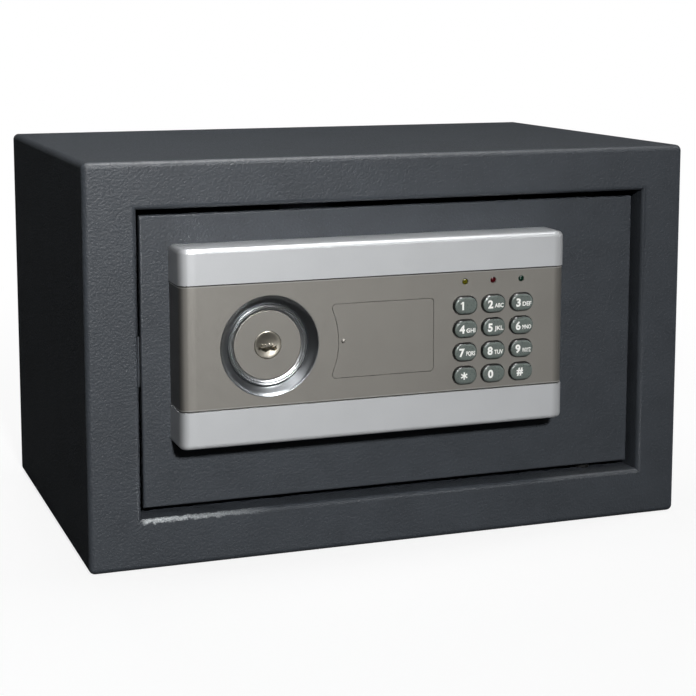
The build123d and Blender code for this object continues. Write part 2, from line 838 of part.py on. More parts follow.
outer_block = fascia_block(0.0, fascia_low, fascia_top)
band_inset = plate_set_back + plate_thickness
band_block = fascia_block(0.0, middle_low, middle_top)
core_block = fascia_block(band_inset, middle_low, middle_top)
hollow_block = fascia_block(band_inset + fascia_wall, fascia_low + fascia_rim, fascia_top - fascia_rim)
key_holes = key_outline(key_gap, key_columns, key_rows)
leds_at = [key_first[0] + column * key_pitch_x for column in range(key_columns)]
plate_x0 = fascia_left + cover_plate_left
plate_x1 = keypad_left - cover_plate_to_keys
plate_z0 = fascia_low + cover_plate_low
plate_z1 = plate_z0 + cover_plate_height
contact_x = (plate_x0 + cover_plate_notch + plate_x1) / 2
contact_z = (plate_z0 + plate_z1) / 2
bosses_at = [
    (x, z)
    for x in (board_left + peg_inset, board_right - peg_inset)
    for z in (board_low + peg_inset, board_top - peg_inset)
]

# Silver housing of the fascia
with BuildPart() as fascia_housing:
    add(outer_block)
    top_edges = fascia_housing.faces().sort_by(Axis.Z)[-1].edges().sort_by(Axis.Y)[:-1]
    fillet(top_edges, fascia_top_round)
    low_edges = fascia_housing.faces().sort_by(Axis.Z)[0].edges().sort_by(Axis.Y)[:-1]
    fillet(low_edges, fascia_low_round)
    add(band_block, mode=Mode.SUBTRACT)
    add(core_block)
    add(hollow_block, mode=Mode.SUBTRACT)
    cut_front = plate_back - cut_over
    cut_back = well_back + cut_over
    rod_y(lock_x, plate_back, well_back, lock_z, well_radius + fascia_wall)
    rod_y(lock_x, cut_front, disc_back, lock_z, well_radius, Mode.SUBTRACT)
    rod_y(lock_x, cut_front, cut_back, lock_z, barrel_radius + screw_clearance, Mode.SUBTRACT)
    well_x0 = plate_x0 + cover_plate_notch + contact_well_side
    well_x1 = plate_x1 - contact_well_side
    well_z0 = plate_z0 + contact_well_end
    well_z1 = plate_z1 - contact_well_end
    wall = fascia_wall
    slab(well_x0 - wall, well_x1 + wall, plate_back, well_back, well_z0 - wall, well_z1 + wall)
    slab(well_x0, well_x1, cut_front, disc_back, well_z0, well_z1, Mode.SUBTRACT)
    for side in (-1, 1):
        x = contact_x + side * contact_spacing / 2
        rod_y(x, disc_back - cut_over, cut_back, contact_z, contact_radius / 2, Mode.SUBTRACT)
    for x, z in fascia_screws_at:
        rod_y(x, plate_back + fascia_wall / 2, door_face, z, boss_radius)
        rod_y(x, door_face - fascia_screw_depth, door_face + cut_over, z, screw_radius, Mode.SUBTRACT)
    for x, z in bosses_at:
        rod_y(x, plate_back + fascia_wall / 2, board_front, z, standoff_radius)
        rod_y(x, board_front, board_back, z, peg_radius)
    add(extrude(key_holes, amount=-fascia_depth / 2, mode=Mode.PRIVATE), mode=Mode.SUBTRACT)
    for x in leds_at:
        rod_y(x, cut_front, wall_back + cut_over, led_z, led_radius + led_gap, Mode.SUBTRACT)
finish(fascia_housing, "fascia_housing")

# Cover plate: rounded at the right, drawn in by an arc at the left
with BuildPart() as cover_plate:
    with BuildSketch(front_plane(plate_front)):
        with BuildLine():
            Line((plate_x0, plate_z0), (plate_x1, plate_z0))
            Line((plate_x1, plate_z0), (plate_x1, plate_z1))
            Line((plate_x1, plate_z1), (plate_x0, plate_z1))
            notch_x = plate_x0 + cover_plate_notch
            ThreePointArc((plate_x0, plate_z1), (notch_x, contact_z), (plate_x0, plate_z0))
        make_face()
    extrude(amount=-cover_plate_thickness)
    fillet(cover_plate.edges().filter_by(Axis.Y), cover_plate_round)
    cover_outline = cover_plate.faces().sort_by(Axis.Y)[0]
    with Locations((plate_x0 + nub_inset, plate_front, contact_z)):
        Sphere(nub_radius)
    rear = plate_front + cover_plate_thickness
    slab(plate_x0, plate_x1, rear, rear + nub_radius, plate_z0, plate_z1, Mode.SUBTRACT)
cover_window = offset(cover_outline, amount=cover_plate_gap)
finish(cover_plate, "cover_plate")

# Warm grey plate around the fascia's middle
plate_block = fascia_block(plate_set_back, middle_low + plate_gap, middle_top - plate_gap)
with BuildPart() as fascia_plate:
    add(plate_block)
    add(core_block, mode=Mode.SUBTRACT)
    with BuildSketch(front_plane(plate_front)):
        with Locations((lock_x, lock_z)):
            Circle(dish_radius)
    with BuildSketch(front_plane(plate_back)):
        with Locations((lock_x, lock_z)):
            Circle(dish_inner_radius)
    loft(mode=Mode.SUBTRACT)
    add(extrude(key_holes, amount=-fascia_depth / 2, mode=Mode.PRIVATE), mode=Mode.SUBTRACT)
    for x in leds_at:
        rod_y(x, plate_front - cut_over, plate_back + cut_over, led_z, led_radius + led_gap, Mode.SUBTRACT)
    window = extrude(cover_window, amount=fascia_depth / 4, dir=(0, 1, 0), mode=Mode.PRIVATE)
    add(window, mode=Mode.SUBTRACT)
finish(fascia_plate, "fascia_plate")

# Chrome ring: a funnel that falls to a round bead, and a flat disc inside it
bead_centre = bezel_step - bezel_bead
with BuildPart() as lock_bezel:
    with BuildSketch(Plane.XY):
        with BuildLine():
            Polyline(
                (disc_radius + disc_clear, disc_back),
                (bezel_radius, disc_back),
                (bezel_radius, plate_back + bezel_gap),
                (dish_inner_radius - bezel_lip_gap, plate_back + bezel_gap),
                (bezel_step, plate_back + bezel_fall),
            )
            ThreePointArc(
                (bezel_step, plate_back + bezel_fall),
                (bead_centre, plate_back + bezel_fall - bezel_bead),
                (disc_radius + disc_clear, plate_back + bezel_fall),
            )
            Line((disc_radius + disc_clear, plate_back + bezel_fall), (disc_radius + disc_clear, disc_back))
        make_face()
    revolve(axis=Axis.Y)
lock_bezel.part.position = (lock_x, 0, lock_z)
finish(lock_bezel, "lock_bezel")

with BuildPart() as lock_disc:
    rod_y(lock_x, disc_front, disc_back, lock_z, disc_radius)
    fillet(lock_disc.edges().group_by(Axis.Y)[0], disc_round)
    bore = plug_radius + 2 * running_gap
    rod_y(lock_x, disc_front - cut_over, disc_back + cut_over, lock_z, bore, Mode.SUBTRACT)
finish(lock_disc, "lock_disc")

with BuildPart() as lock_barrel:
    rod_y(lock_x, disc_back, barrel_back, lock_z, barrel_radius)
    bore = plug_radius + running_gap
    rod_y(lock_x, disc_back - cut_over, barrel_back + cut_over, lock_z, bore, Mode.SUBTRACT)
finish(lock_barrel, "lock_barrel")

with BuildPart() as lock_nut:
    with BuildSketch(front_plane(door_back)):
        with Locations((lock_x, lock_z)):
            RegularPolygon(nut_radius, 6)
            Circle(barrel_radius + screw_clearance / 2, mode=Mode.SUBTRACT)
    extrude(amount=-nut_height)
finish(lock_nut, "lock_nut")

# Key plug: dished face with a keyway, and a tail that the cam sits on
plug_front = disc_front - plug_proud
with BuildPart() as lock_plug:
    rod_y(lock_x, plug_front, lever_front, lock_z, plug_radius)
    slab(
        lock_x - tail_side / 2,
        lock_x + tail_side / 2,
        lever_front,
        lever_back,
        lock_z - tail_side / 2,
        lock_z + tail_side / 2,
    )
    dish_rise = math.sqrt(plug_dish**2 - (plug_radius - plug_lip) ** 2)
    with Locations((lock_x, plug_front - dish_rise, lock_z)):
        Sphere(plug_dish, mode=Mode.SUBTRACT)
    half_key = keyway_length / 2
    key_z = lock_z - keyway_drop
    key_end = disc_front + keyway_depth
    key_low = key_z - keyway_height / 2
    key_top = key_z + keyway_height / 2
    key_start = plug_front - cut_over
    slab(lock_x - half_key, lock_x + half_key, key_start, key_end, key_low, key_top, Mode.SUBTRACT)
    tail_end = lever_back + cut_over
    rod_y(lock_x, lever_back - cam_screw_depth, tail_end, lock_z, cam_screw_radius, Mode.SUBTRACT)
finish(lock_plug, "lock_plug")

lock_cam = lever(lock_x, cam_hub, Rectangle(tail_side, tail_side, mode=Mode.PRIVATE))
finish(lock_cam, "lock_cam")

with BuildPart() as cam_screw:
    rod_y(lock_x, lever_back - cam_screw_depth, lever_back, lock_z, cam_screw_radius)
    rod_y(lock_x, lever_back, lever_back + cam_screw_head, lock_z, cam_screw_head_radius)
finish(cam_screw, "cam_screw")

with BuildPart() as fascia_screws:
    for x, z in fascia_screws_at:
        rod_y(x, door_face - fascia_screw_depth + fascia_screw_tip, door_back, z, screw_radius)
        rod_y(x, door_back, door_back + screw_head_height, z, screw_head_radius)
finish(fascia_screws, "fascia_screws")

# Keys
key_names = (
    ("star", "0", "hash"),
    ("7", "8", "9"),
    ("4", "5", "6"),
    ("1", "2", "3"),
)
for row, names in enumerate(key_names):
    for column, name in enumerate(names):
        centre = (key_first[0] + column * key_pitch_x, key_first[1] + row * key_pitch_z)
        with BuildPart() as key:
            with BuildSketch(front_plane(key_front)):
                with Locations(centre):
                    SlotOverall(key_width, key_height)
            extrude(amount=key_front - key_back)
            fillet(key.edges().group_by(Axis.Y)[0], key_round)
            with BuildSketch(front_plane(key_back - key_flange_thickness)):
                with Locations(centre):
                    SlotOverall(key_width + 2 * key_flange, key_height + 2 * key_flange)
            extrude(amount=-key_flange_thickness)
        finish(key, f"key_{name}")

# Rubber mat with a dome under each key
mat_left = keypad_left - keypad_mat_margin
mat_right = keypad_left + keypad_width + keypad_mat_margin
mat_low = keypad_low - keypad_mat_margin
mat_high = keypad_low + keypad_height + keypad_mat_margin
with BuildPart() as keypad_mat:
    slab(mat_left, mat_right, board_front - mat_sheet, board_front, mat_low, mat_high)
    for column in range(key_columns):
        for row in range(key_rows):
            x = key_first[0] + column * key_pitch_x
            z = key_first[1] + row * key_pitch_z
            rod_y(x, dome_top, board_front - mat_sheet, z, dome_radius)
finish(keypad_mat, "keypad_mat")

with BuildPart() as keypad_board:
    slab(board_left, board_right, board_front, board_back, board_low, board_top)
    for x, z in bosses_at:
        hole_radius = peg_radius + screw_clearance
        rod_y(x, board_front - cut_over, board_back + cut_over, z, hole_radius, Mode.SUBTRACT)
finish(keypad_board, "keypad_board")

with BuildPart() as status_leds:
    for x in leds_at:
        rod_y(x, plate_front - led_proud, board_front, led_z, led_radius)
    fillet(status_leds.edges().group_by(Axis.Y)[0], led_radius - led_flat)
finish(status_leds, "status_leds")

with BuildPart() as power_contacts:
    for side in (-1, 1):
        x = contact_x + side * contact_spacing / 2
        rod_y(x, disc_back - contact_height, disc_back, contact_z, contact_radius)
        rod_y(x, disc_back, well_back + contact_tail, contact_z, contact_radius / 2)
    fillet(power_contacts.edges().group_by(Axis.Y)[0], contact_round)
finish(power_contacts, "power_contacts")

# Control board on the door plate's weld studs
with BuildPart() as control_board:
    control_right = control_x + control_width
    control_top = control_z + control_height
    slab(control_x, control_right, control_front, control_back, control_z, control_top)
    for x, z in standoffs_at:
        hole_radius = peg_radius + screw_clearance
        rod_y(x, control_front - cut_over, control_back + cut_over, z, hole_radius, Mode.SUBTRACT)
finish(control_board, "control_board")

connector_top = control_top - socket_inset
connector_low = connector_top - connector_depth
connector_back = control_back + connector_height
ribbon_end_z = ribbon_z - 2 * ribbon_bend
ribbon_half = ribbon_width / 2 + ribbon_plug_over


def block_on_board(centre, size, height):
    """A block on the control board, by its centre from the board's left and lower edges."""
    x = control_x + centre[0]
    z = control_z + centre[1]
    half_x = size[0] / 2
    half_z = size[1] / 2
    slab(x - half_x, x + half_x, control_back, control_back + height, z - half_z, z + half_z)


def can_on_board(centre, radius, height):
    """A round part on the control board."""
    x = control_x + centre[0]
    rod_y(x, control_back, control_back + height, control_z + centre[1], radius)


with BuildPart() as board_components:
    for socket in (motor_socket, battery_socket):
        x0 = control_x + socket
        slab(x0, x0 + socket_width, control_back, connector_back, connector_low, connector_top)
    socket_low = ribbon_end_z - ribbon_socket_half
    socket_top = ribbon_end_z + ribbon_socket_half
    x0 = ribbon_x - ribbon_half
    slab(x0, ribbon_x + ribbon_half, control_back, connector_back, socket_low, socket_top)
    block_on_board(chip_at, chip_size, chip_height)
    can_on_board(buzzer_at, buzzer_radius, buzzer_height)
    can_on_board(capacitor_at, capacitor_radius, capacitor_height)
    block_on_board(relay_at, relay_size, relay_height)
finish(board_components, "board_components")

with BuildPart() as ribbon_cable:
    ribbon_start = board_back + ribbon_plug_depth
    turn_y = connector_back + ribbon_run
    with BuildLine() as ribbon_path:
        Line((ribbon_x, ribbon_start, ribbon_z), (ribbon_x, turn_y, ribbon_z))
        ThreePointArc(
            (ribbon_x, turn_y, ribbon_z),
            (ribbon_x, turn_y + ribbon_bend, ribbon_z - ribbon_bend),
            (ribbon_x, turn_y, ribbon_end_z),
        )
        Line((ribbon_x, turn_y, ribbon_end_z), (ribbon_x, connector_back, ribbon_end_z))
    with BuildSketch(front_plane(ribbon_start)):
        with Locations((ribbon_x, ribbon_z)):
            Rectangle(ribbon_width, ribbon_thickness)
    sweep(path=ribbon_path.line)
    plug_low = ribbon_z - ribbon_plug_half
    plug_top = ribbon_z + ribbon_plug_half
    x0 = ribbon_x - ribbon_half
    slab(x0, ribbon_x + ribbon_half, board_back, ribbon_start, plug_low, plug_top)
finish(ribbon_cable, "ribbon_cable")

with BuildPart() as cable_grommet:
    with BuildSketch(front_plane(door_face)):
        with Locations((ribbon_x, ribbon_z)):
            SlotOverall(grommet_width, grommet_height)
            Rectangle(ribbon_width + ribbon_play, ribbon_thickness + ribbon_play, mode=Mode.SUBTRACT)
    extrude(amount=-door_thickness)
    with BuildSketch(front_plane(door_back)):
        with Locations((ribbon_x, ribbon_z)):
            SlotOverall(grommet_width + 2 * grommet_flange, grommet_height + 2 * grommet_flange)
            Rectangle(ribbon_width + ribbon_play, ribbon_thickness + ribbon_play, mode=Mode.SUBTRACT)
    extrude(amount=-grommet_flange)
finish(cable_grommet, "cable_grommet")

# Motor leads and battery leads, each a wire with one bend
lead_y = control_back + connector_height / 2
motor_lead_x = control_x + motor_socket + lead_inset
motor_leads = [
    [(motor_end, lead_y, crank_z + rise), (x, lead_y, crank_z + rise), (x, lead_y, connector_top)]
    for x, rise in ((motor_lead_x + lead_spacing, lead_rise), (motor_lead_x, -lead_rise))
]
battery_lead_x = control_x + battery_socket + lead_inset
exit_z = tray_low + lead_exit_rise
battery_leads = [
    [(x, tray_floor - tray_wall, exit_z), (x, lead_y, exit_z), (x, lead_y, connector_top)]
    for x in (battery_lead_x, battery_lead_x + lead_spacing)
]
with BuildPart() as wire_leads:
    for route in motor_leads + battery_leads:
        with BuildLine() as lead_path:
            FilletPolyline(*route, radius=lead_bend)
        start = Vector(*route[0])
        with BuildSketch(Plane(origin=start, z_dir=Vector(*route[1]) - start)):
            Circle(lead_radius)
        sweep(path=lead_path.line)
finish(wire_leads, "wire_leads")

# Reset button in the lock cover, over its switch on the control board
switch_top = control_back + switch_body + switch_stem_length
head_front = cover_back + reset_travel + reset_gap
head_back = head_front + reset_proud
with BuildPart() as reset_switch:
    half = switch_side / 2
    body_back = control_back + switch_body
    slab(reset_x - half, reset_x + half, control_back, body_back, reset_z - half, reset_z + half)
    rod_y(reset_x, body_back, switch_top, reset_z, switch_stem)
finish(reset_switch, "reset_switch")

with BuildPart() as reset_button:
    rod_y(reset_x, head_front, head_back, reset_z, reset_radius)
    fillet(reset_button.edges().group_by(Axis.Y)[-1], reset_round)
    rod_y(reset_x, switch_top + reset_travel + reset_gap, head_front, reset_z, reset_stem)
    collar_back = cover_inside - face_gap
    collar_radius = reset_stem + reset_collar_over
    rod_y(reset_x, collar_back - reset_collar, collar_back, reset_z, collar_radius)
finish(reset_button, "reset_button")

# Battery tray, cells, contacts and lid
ledge_top = cover_back + tray_rim - lid_sink - lid_thickness
with BuildPart() as battery_tray:
    slab(tray_left, tray_right, tray_floor - tray_wall, cover_back, tray_low, tray_top)
    rim_back = cover_back + tray_rim
    rim_left = tray_left - tray_rim_over
    rim_right = tray_right + tray_rim_over
    slab(rim_left, rim_right, cover_back, rim_back, tray_low - tray_rim_over, tray_top + tray_rim_over)
    inner_left = tray_left + tray_wall
    inner_right = tray_right - tray_wall
    inner_low = tray_low + tray_wall
    inner_top = tray_top - tray_wall
    mouth = rim_back + cut_over
    slab(inner_left, inner_right, tray_floor, mouth, inner_low, inner_top, Mode.SUBTRACT)
    post_back = ledge_top - lid_seat_gap
    post_front = ledge_top - lid_post_length
    for x0 in (inner_left, inner_right - lid_post_width):
        for z0 in (inner_low, inner_top - lid_post_length):
            slab(x0, x0 + lid_post_width, post_front, post_back, z0, z0 + lid_post_length)
finish(battery_tray, "battery_tray")

cells_left = tray_left + tray_wall + cell_gap + cell_pitch / 2
cell_y = tray_floor + cell_radius + cell_gap
cell_low = tray_low + tray_wall + contact_leaf + leaf_gap
with BuildPart() as batteries:
    for index in range(cell_count):
        x = cells_left + index * cell_pitch
        if index % 2:
            rod_z(x, cell_y, cell_low + cell_nub, cell_low + cell_nub + cell_length, cell_radius)
            rod_z(x, cell_y, cell_low, cell_low + cell_nub, cell_nub_radius)
        else:
            rod_z(x, cell_y, cell_low, cell_low + cell_length, cell_radius)
            rod_z(x, cell_y, cell_low + cell_length, cell_low + cell_length + cell_nub, cell_nub_radius)
finish(batteries, "batteries")

with BuildPart() as battery_contacts:
    for index in range(cell_count):
        x = cells_left + index * cell_pitch
        for z0 in (tray_low + tray_wall, tray_top - tray_wall - contact_leaf):
            leaf_front = cell_y - contact_half
            leaf_back = cell_y + contact_half
            slab(x - contact_half, x + contact_half, leaf_front, leaf_back, z0, z0 + contact_leaf)
finish(battery_contacts, "battery_contacts")

with BuildPart() as battery_lid:
    inset = tray_wall + lid_gap
    lid_front = ledge_top + lid_seat_gap
    lid_back = lid_front + lid_thickness
    lid_left = tray_left + inset
    lid_right = tray_right - inset
    slab(lid_left, lid_right, lid_front, lid_back, tray_low + inset, tray_top - inset)
    for index in range(lid_ridges):
        z0 = tray_low + ridge_rise + ridge_pitch * index
        x0 = (tray_left + tray_right - ridge_length) / 2
        slab(x0, x0 + ridge_length, lid_front, lid_back + ridge_height, z0, z0 + ridge_width)
finish(battery_lid, "battery_lid")
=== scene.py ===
"""A compact electronic safe, closed, dressed and lit on a plain pale floor.

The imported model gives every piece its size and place. Lengths in the classes below are millimetres,
and Blender's are metres. Front is -Y and up is +Z.
"""

import logging
import math
from collections.abc import Iterable
from dataclasses import dataclass
from enum import Enum

import bpy
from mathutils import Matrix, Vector

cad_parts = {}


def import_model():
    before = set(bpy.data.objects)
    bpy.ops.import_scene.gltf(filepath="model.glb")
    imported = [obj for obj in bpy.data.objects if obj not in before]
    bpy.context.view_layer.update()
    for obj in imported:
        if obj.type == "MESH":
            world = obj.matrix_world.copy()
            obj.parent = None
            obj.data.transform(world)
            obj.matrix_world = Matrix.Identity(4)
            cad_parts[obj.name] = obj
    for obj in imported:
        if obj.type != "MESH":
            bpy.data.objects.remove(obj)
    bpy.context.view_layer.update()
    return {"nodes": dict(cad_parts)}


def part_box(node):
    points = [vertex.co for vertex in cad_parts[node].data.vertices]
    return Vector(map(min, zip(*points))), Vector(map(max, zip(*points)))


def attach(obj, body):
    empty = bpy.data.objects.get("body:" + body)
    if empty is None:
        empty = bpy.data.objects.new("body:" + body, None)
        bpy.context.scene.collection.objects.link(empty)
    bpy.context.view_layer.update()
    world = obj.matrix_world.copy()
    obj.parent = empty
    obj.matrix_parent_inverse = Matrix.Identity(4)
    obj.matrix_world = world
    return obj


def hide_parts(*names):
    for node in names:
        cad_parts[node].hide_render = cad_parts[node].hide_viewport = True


MM = 0.001
IMAGE_SIDE = 696
log = logging.getLogger("safe")

Tree = bpy.types.NodeTree
Socket = bpy.types.NodeSocket
Colour = tuple[float, float, float, float]
Layer = tuple[Socket, Colour]


class Body(Enum):
    """The bodies that new pieces ride on."""

    CABINET = "cabinet"
    DOOR = "door"
    KEY_PLUG = "key_plug"


class Slot(Enum):
    """The record's material slots that new pieces take their finish from."""

    FELT = "felt"
    STEEL = "zinc_steel"
    CHROME = "chrome_ring"
    NICKEL = "lock_nickel"
    LENS = "lamp_lens"


def linear(code: str) -> Colour:
    """Turn an sRGB hex colour to linear.

    Args:
        code: The colour as "#rrggbb".

    Returns:
        Linear red, green, blue and an alpha of one.
    """
    channels = [int(code[i : i + 2], 16) / 255 for i in (1, 3, 5)]
    red, green, blue = [c / 12.92 if c <= 0.04045 else ((c + 0.055) / 1.055) ** 2.4 for c in channels]
    return (red, green, blue, 1.0)


def add_node(tree: Tree, kind: str, inputs: dict | None = None, **settings: object) -> bpy.types.Node:
    """Add a shader node with its settings and links.

    Args:
        tree: The node tree that it goes into.
        kind: The node's type name.
        inputs: A value or an output socket for each input, by name or number.
        **settings: The node's own properties.

    Returns:
        The new node.
    """
    node = tree.nodes.new(kind)
    for name, value in settings.items():
        setattr(node, name, value)
    for key, value in (inputs or {}).items():
        if isinstance(value, Socket):
            tree.links.new(value, node.inputs[key])
        else:
            node.inputs[key].default_value = value
    return node


def only(*pieces: bpy.types.Object) -> None:
    """Select these objects and nothing else, with the first one active.

    Args:
        *pieces: The objects.
    """
    bpy.ops.object.select_all(action="DESELECT")
    for piece in pieces:
        piece.select_set(True)
    bpy.context.view_layer.objects.active = pieces[0]


def settle(piece: bpy.types.Object, body: Body) -> None:
    """Apply a finished piece's place, and say what it rides on.

    Args:
        piece: The finished piece.
        body: The body that it moves with.
    """
    only(piece)
    bpy.ops.object.transform_apply(location=True, rotation=True, scale=True)
    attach(piece, body.value)
    log.info("piece %s rides on %s", piece.name, body.value)


def apply_modifier(piece: bpy.types.Object, kind: str, **settings: object) -> None:
    """Add a modifier with these settings and apply it.

    Args:
        piece: The piece.
        kind: The modifier's type.
        **settings: The modifier's own properties.
    """
    only(piece)
    modifier = piece.modifiers.new(kind.lower(), kind)
    for name, value in settings.items():
        setattr(modifier, name, value)
    bpy.ops.object.modifier_apply(modifier=modifier.name)


def cut(piece: bpy.types.Object, cutter: bpy.types.Object) -> None:
    """Cut a piece by another one, which is used up."""
    apply_modifier(piece, "BOOLEAN", operation="DIFFERENCE", object=cutter, solver="EXACT")
    bpy.data.objects.remove(cutter)


def finish_piece(piece: bpy.types.Object, finish: bpy.types.Material, angle: float) -> None:
    """Smooth a new piece's round faces and give it its material.

    Args:
        piece: The piece.
        finish: Its material.
        angle: The sharpest turn between faces that is still smoothed, in degrees.
    """
    only(piece)
    bpy.ops.object.shade_smooth_by_angle(angle=math.radians(angle))
    piece.data.materials.clear()
    piece.data.materials.append(finish)


def turned(
    name: str,
    centre: tuple[float, float],
    profile: list[tuple[float, float]],
    segments: int,
    filled: bool = False,
) -> bpy.types.Object:
    """Turn a profile about an axis along Y, one extruded ring for each of its points.

    Args:
        name: The piece's name.
        centre: The axis, as x and z in metres.
        profile: Radius and y of each point, in metres. A last radius of zero closes the piece.
        segments: How many sides a ring has.
        filled: Whether the first ring has a flat end.

    Returns:
        The turned piece, with its faces outwards.
    """
    radius, y = profile[0]
    bpy.ops.object.select_all(action="DESELECT")
    bpy.ops.mesh.primitive_circle_add(
        vertices=segments,
        radius=radius,
        fill_type="NGON" if filled else "NOTHING",
        location=(centre[0], y, centre[1]),
        rotation=(math.pi / 2, 0, 0),
    )
    piece = bpy.context.object
    piece.name = name
    bpy.ops.object.transform_apply(location=True, rotation=True, scale=True)
    bpy.ops.object.mode_set(mode="EDIT")
    bpy.ops.mesh.select_mode(type="EDGE")
    for next_radius, next_y in profile[1:]:
        bpy.ops.mesh.extrude_edges_indiv()
        bpy.ops.transform.translate(value=(0, next_y - y, 0))
        if next_radius == 0:
            bpy.ops.mesh.merge(type="CENTER")
            break
        scale = next_radius / radius
        bpy.ops.transform.resize(value=(scale, 1, scale), center_override=(centre[0], next_y, centre[1]))
        radius, y = next_radius, next_y
    bpy.ops.mesh.select_all(action="SELECT")
    bpy.ops.mesh.remove_doubles(threshold=0.001 * MM)
    bpy.ops.mesh.normals_make_consistent(inside=False)
    bpy.ops.object.mode_set(mode="OBJECT")
    return piece


def copies(first: bpy.types.Object, moves: Iterable[Vector], name: str) -> bpy.types.Object:
    """Copy a piece to several places and join the copies.

    Args:
        first: The piece, which is used up.
        moves: How far each copy is moved from the first.
        name: The joined piece's name.

    Returns:
        The joined piece.
    """
    parts = []
    for move in moves:
        part = first.copy()
        part.data = first.data.copy()
        bpy.context.scene.collection.objects.link(part)
        part.location = part.location + move
        parts.append(part)
    bpy.data.objects.remove(first)
    only(*parts)
    bpy.ops.object.join()
    parts[0].name = name
    return parts[0]


def soften(node: bpy.types.Object, angle: float = 38.0) -> None:
    """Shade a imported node's round faces smooth and its flat ones flat, with live modifiers only.

    Args:
        node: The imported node.
        angle: The sharpest turn between faces that is still smoothed, in degrees.
    """
    weld = node.modifiers.new("weld", "WELD")
    weld.merge_threshold = 0.002 * MM
    split = node.modifiers.new("creases", "EDGE_SPLIT")
    split.split_angle = math.radians(angle)
    split.use_edge_sharp = False
    flat = node.modifiers.new("flat_faces", "WEIGHTED_NORMAL")
    flat.weight = 100


@dataclass
class Ground:
    """What a finish is drawn on: its node tree, and the sockets that its patterns start from."""

    tree: Tree
    place: Socket
    x: Socket
    y: Socket
    z: Socket
    grain: Socket


def outside(ground: Ground, low: float, high: float, soft: float) -> Socket:
    """Find what lies above or below a stretch of height.

    Args:
        ground: What the finish is drawn on.
        low: The stretch's lower end, in millimetres.
        high: Its upper end.
        soft: How far the share takes to rise from zero to one.

    Returns:
        A share that is one outside the stretch and zero in it.
    """
    over = add_node(ground.tree, "ShaderNodeMapRange", {0: ground.z, 1: high * MM, 2: (high + soft) * MM})
    under = add_node(ground.tree, "ShaderNodeMapRange", {0: ground.z, 1: low * MM, 2: (low - soft) * MM})
    both = {0: over.outputs[0], 1: under.outputs[0]}
    return add_node(ground.tree, "ShaderNodeMath", both, operation="MAXIMUM").outputs[0]


@dataclass(frozen=True)
class Finish:
    """A finish with a fine grain in its relief and a slow change in its colour.

    The grain's pitch and depth are millimetres. Mottle is how far the colour strays, as a share.
    """

    name: str
    colour: str
    roughness: float = 0.5
    metallic: float = 0.0
    grain: float = 0.5
    depth: float = 0.02
    stretch: tuple[float, float, float] = (1.0, 1.0, 1.0)
    mottle: float = 0.08
    mottle_pitch: float = 18.0
    spread: float = 0.06
    specular: float = 0.5
    coat: float = 0.0
    coat_roughness: float = 0.12
    sheen: float = 0.0
    anisotropic: float = 0.0
    transmission: float = 0.0

    def build(self) -> bpy.types.Material:
        """Make the material.

        Returns:
            The finished material.
        """
        material = bpy.data.materials.new(self.name)
        material.use_nodes = True
        tree = material.node_tree
        tree.nodes.clear()
        place = add_node(tree, "ShaderNodeTexCoord").outputs["Object"]
        stretched = add_node(tree, "ShaderNodeMapping", {"Vector": place, "Scale": self.stretch}).outputs[0]
        fine = {"Vector": stretched, "Scale": 1 / (self.grain * MM), "Detail": 3.0, "Roughness": 0.6}
        grain = add_node(tree, "ShaderNodeTexNoise", fine).outputs["Fac"]
        apart = add_node(tree, "ShaderNodeSeparateXYZ", {"Vector": place}).outputs
        ground = Ground(tree, place, *apart, grain)
        colour = self.paint(ground)
        for share, tone in self.layers(ground):
            mix = {0: share, 6: colour, 7: tone}
            colour = add_node(tree, "ShaderNodeMix", mix, data_type="RGBA").outputs[2]
        bump = {"Strength": 1.0, "Distance": self.depth * MM, "Height": self.relief(ground)}
        surface = {
            "Base Color": colour,
            "Roughness": self.gloss(ground),
            "Normal": add_node(tree, "ShaderNodeBump", bump).outputs["Normal"],
            "Metallic": self.metallic,
            "Specular IOR Level": self.specular,
            "Coat Weight": self.coat,
            "Coat Roughness": self.coat_roughness,
            "Sheen Weight": self.sheen,
            "Anisotropic": self.anisotropic,
            "Transmission Weight": self.transmission,
        }
        shader = add_node(tree, "ShaderNodeBsdfPrincipled", surface).outputs["BSDF"]
        add_node(tree, "ShaderNodeOutputMaterial", {"Surface": shader})
        return material

    def shade(self, factor: float) -> Colour:
        """Return the colour made lighter or darker by a factor."""
        red, green, blue, alpha = linear(self.colour)
        return (min(red * factor, 1), min(green * factor, 1), min(blue * factor, 1), alpha)

    def paint(self, ground: Ground) -> Socket:
        """Draw the base colour, mottled slowly and by the grain.

        Args:
            ground: What the finish is drawn on.

        Returns:
            The colour.
        """
        wide = {"Vector": ground.place, "Scale": 1 / (self.mottle_pitch * MM), "Detail": 2.0}
        slow_noise = add_node(ground.tree, "ShaderNodeTexNoise", wide).outputs["Fac"]
        share = add_node(ground.tree, "ShaderNodeMapRange", {0: slow_noise, 1: 0.3, 2: 0.7}).outputs[0]
        tones = {0: share, 6: self.shade(1 - self.mottle), 7: self.shade(1 + self.mottle)}
        slow = add_node(ground.tree, "ShaderNodeMix", tones, data_type="RGBA").outputs[2]
        fleck = add_node(ground.tree, "ShaderNodeMapRange", {0: ground.grain, 1: 0.35, 2: 0.7, 4: 0.5})
        tones = {0: fleck.outputs[0], 6: slow, 7: self.shade(1 + 2 * self.mottle)}
        return add_node(ground.tree, "ShaderNodeMix", tones, data_type="RGBA").outputs[2]

    def layers(self, ground: Ground) -> list[Layer]:
        """Return what lies over the base colour, the lowest first: each layer's share and colour."""
        return []

    def gloss(self, ground: Ground) -> Socket:
        """Return the roughness, which follows the grain."""
        span = {1: 0.3, 2: 0.7, 3: self.roughness - self.spread, 4: self.roughness + self.spread}
        return add_node(ground.tree, "ShaderNodeMapRange", {0: ground.grain, **span}).outputs[0]

    def relief(self, ground: Ground) -> Socket:
        """Return the height that the relief is made from."""
        return ground.grain


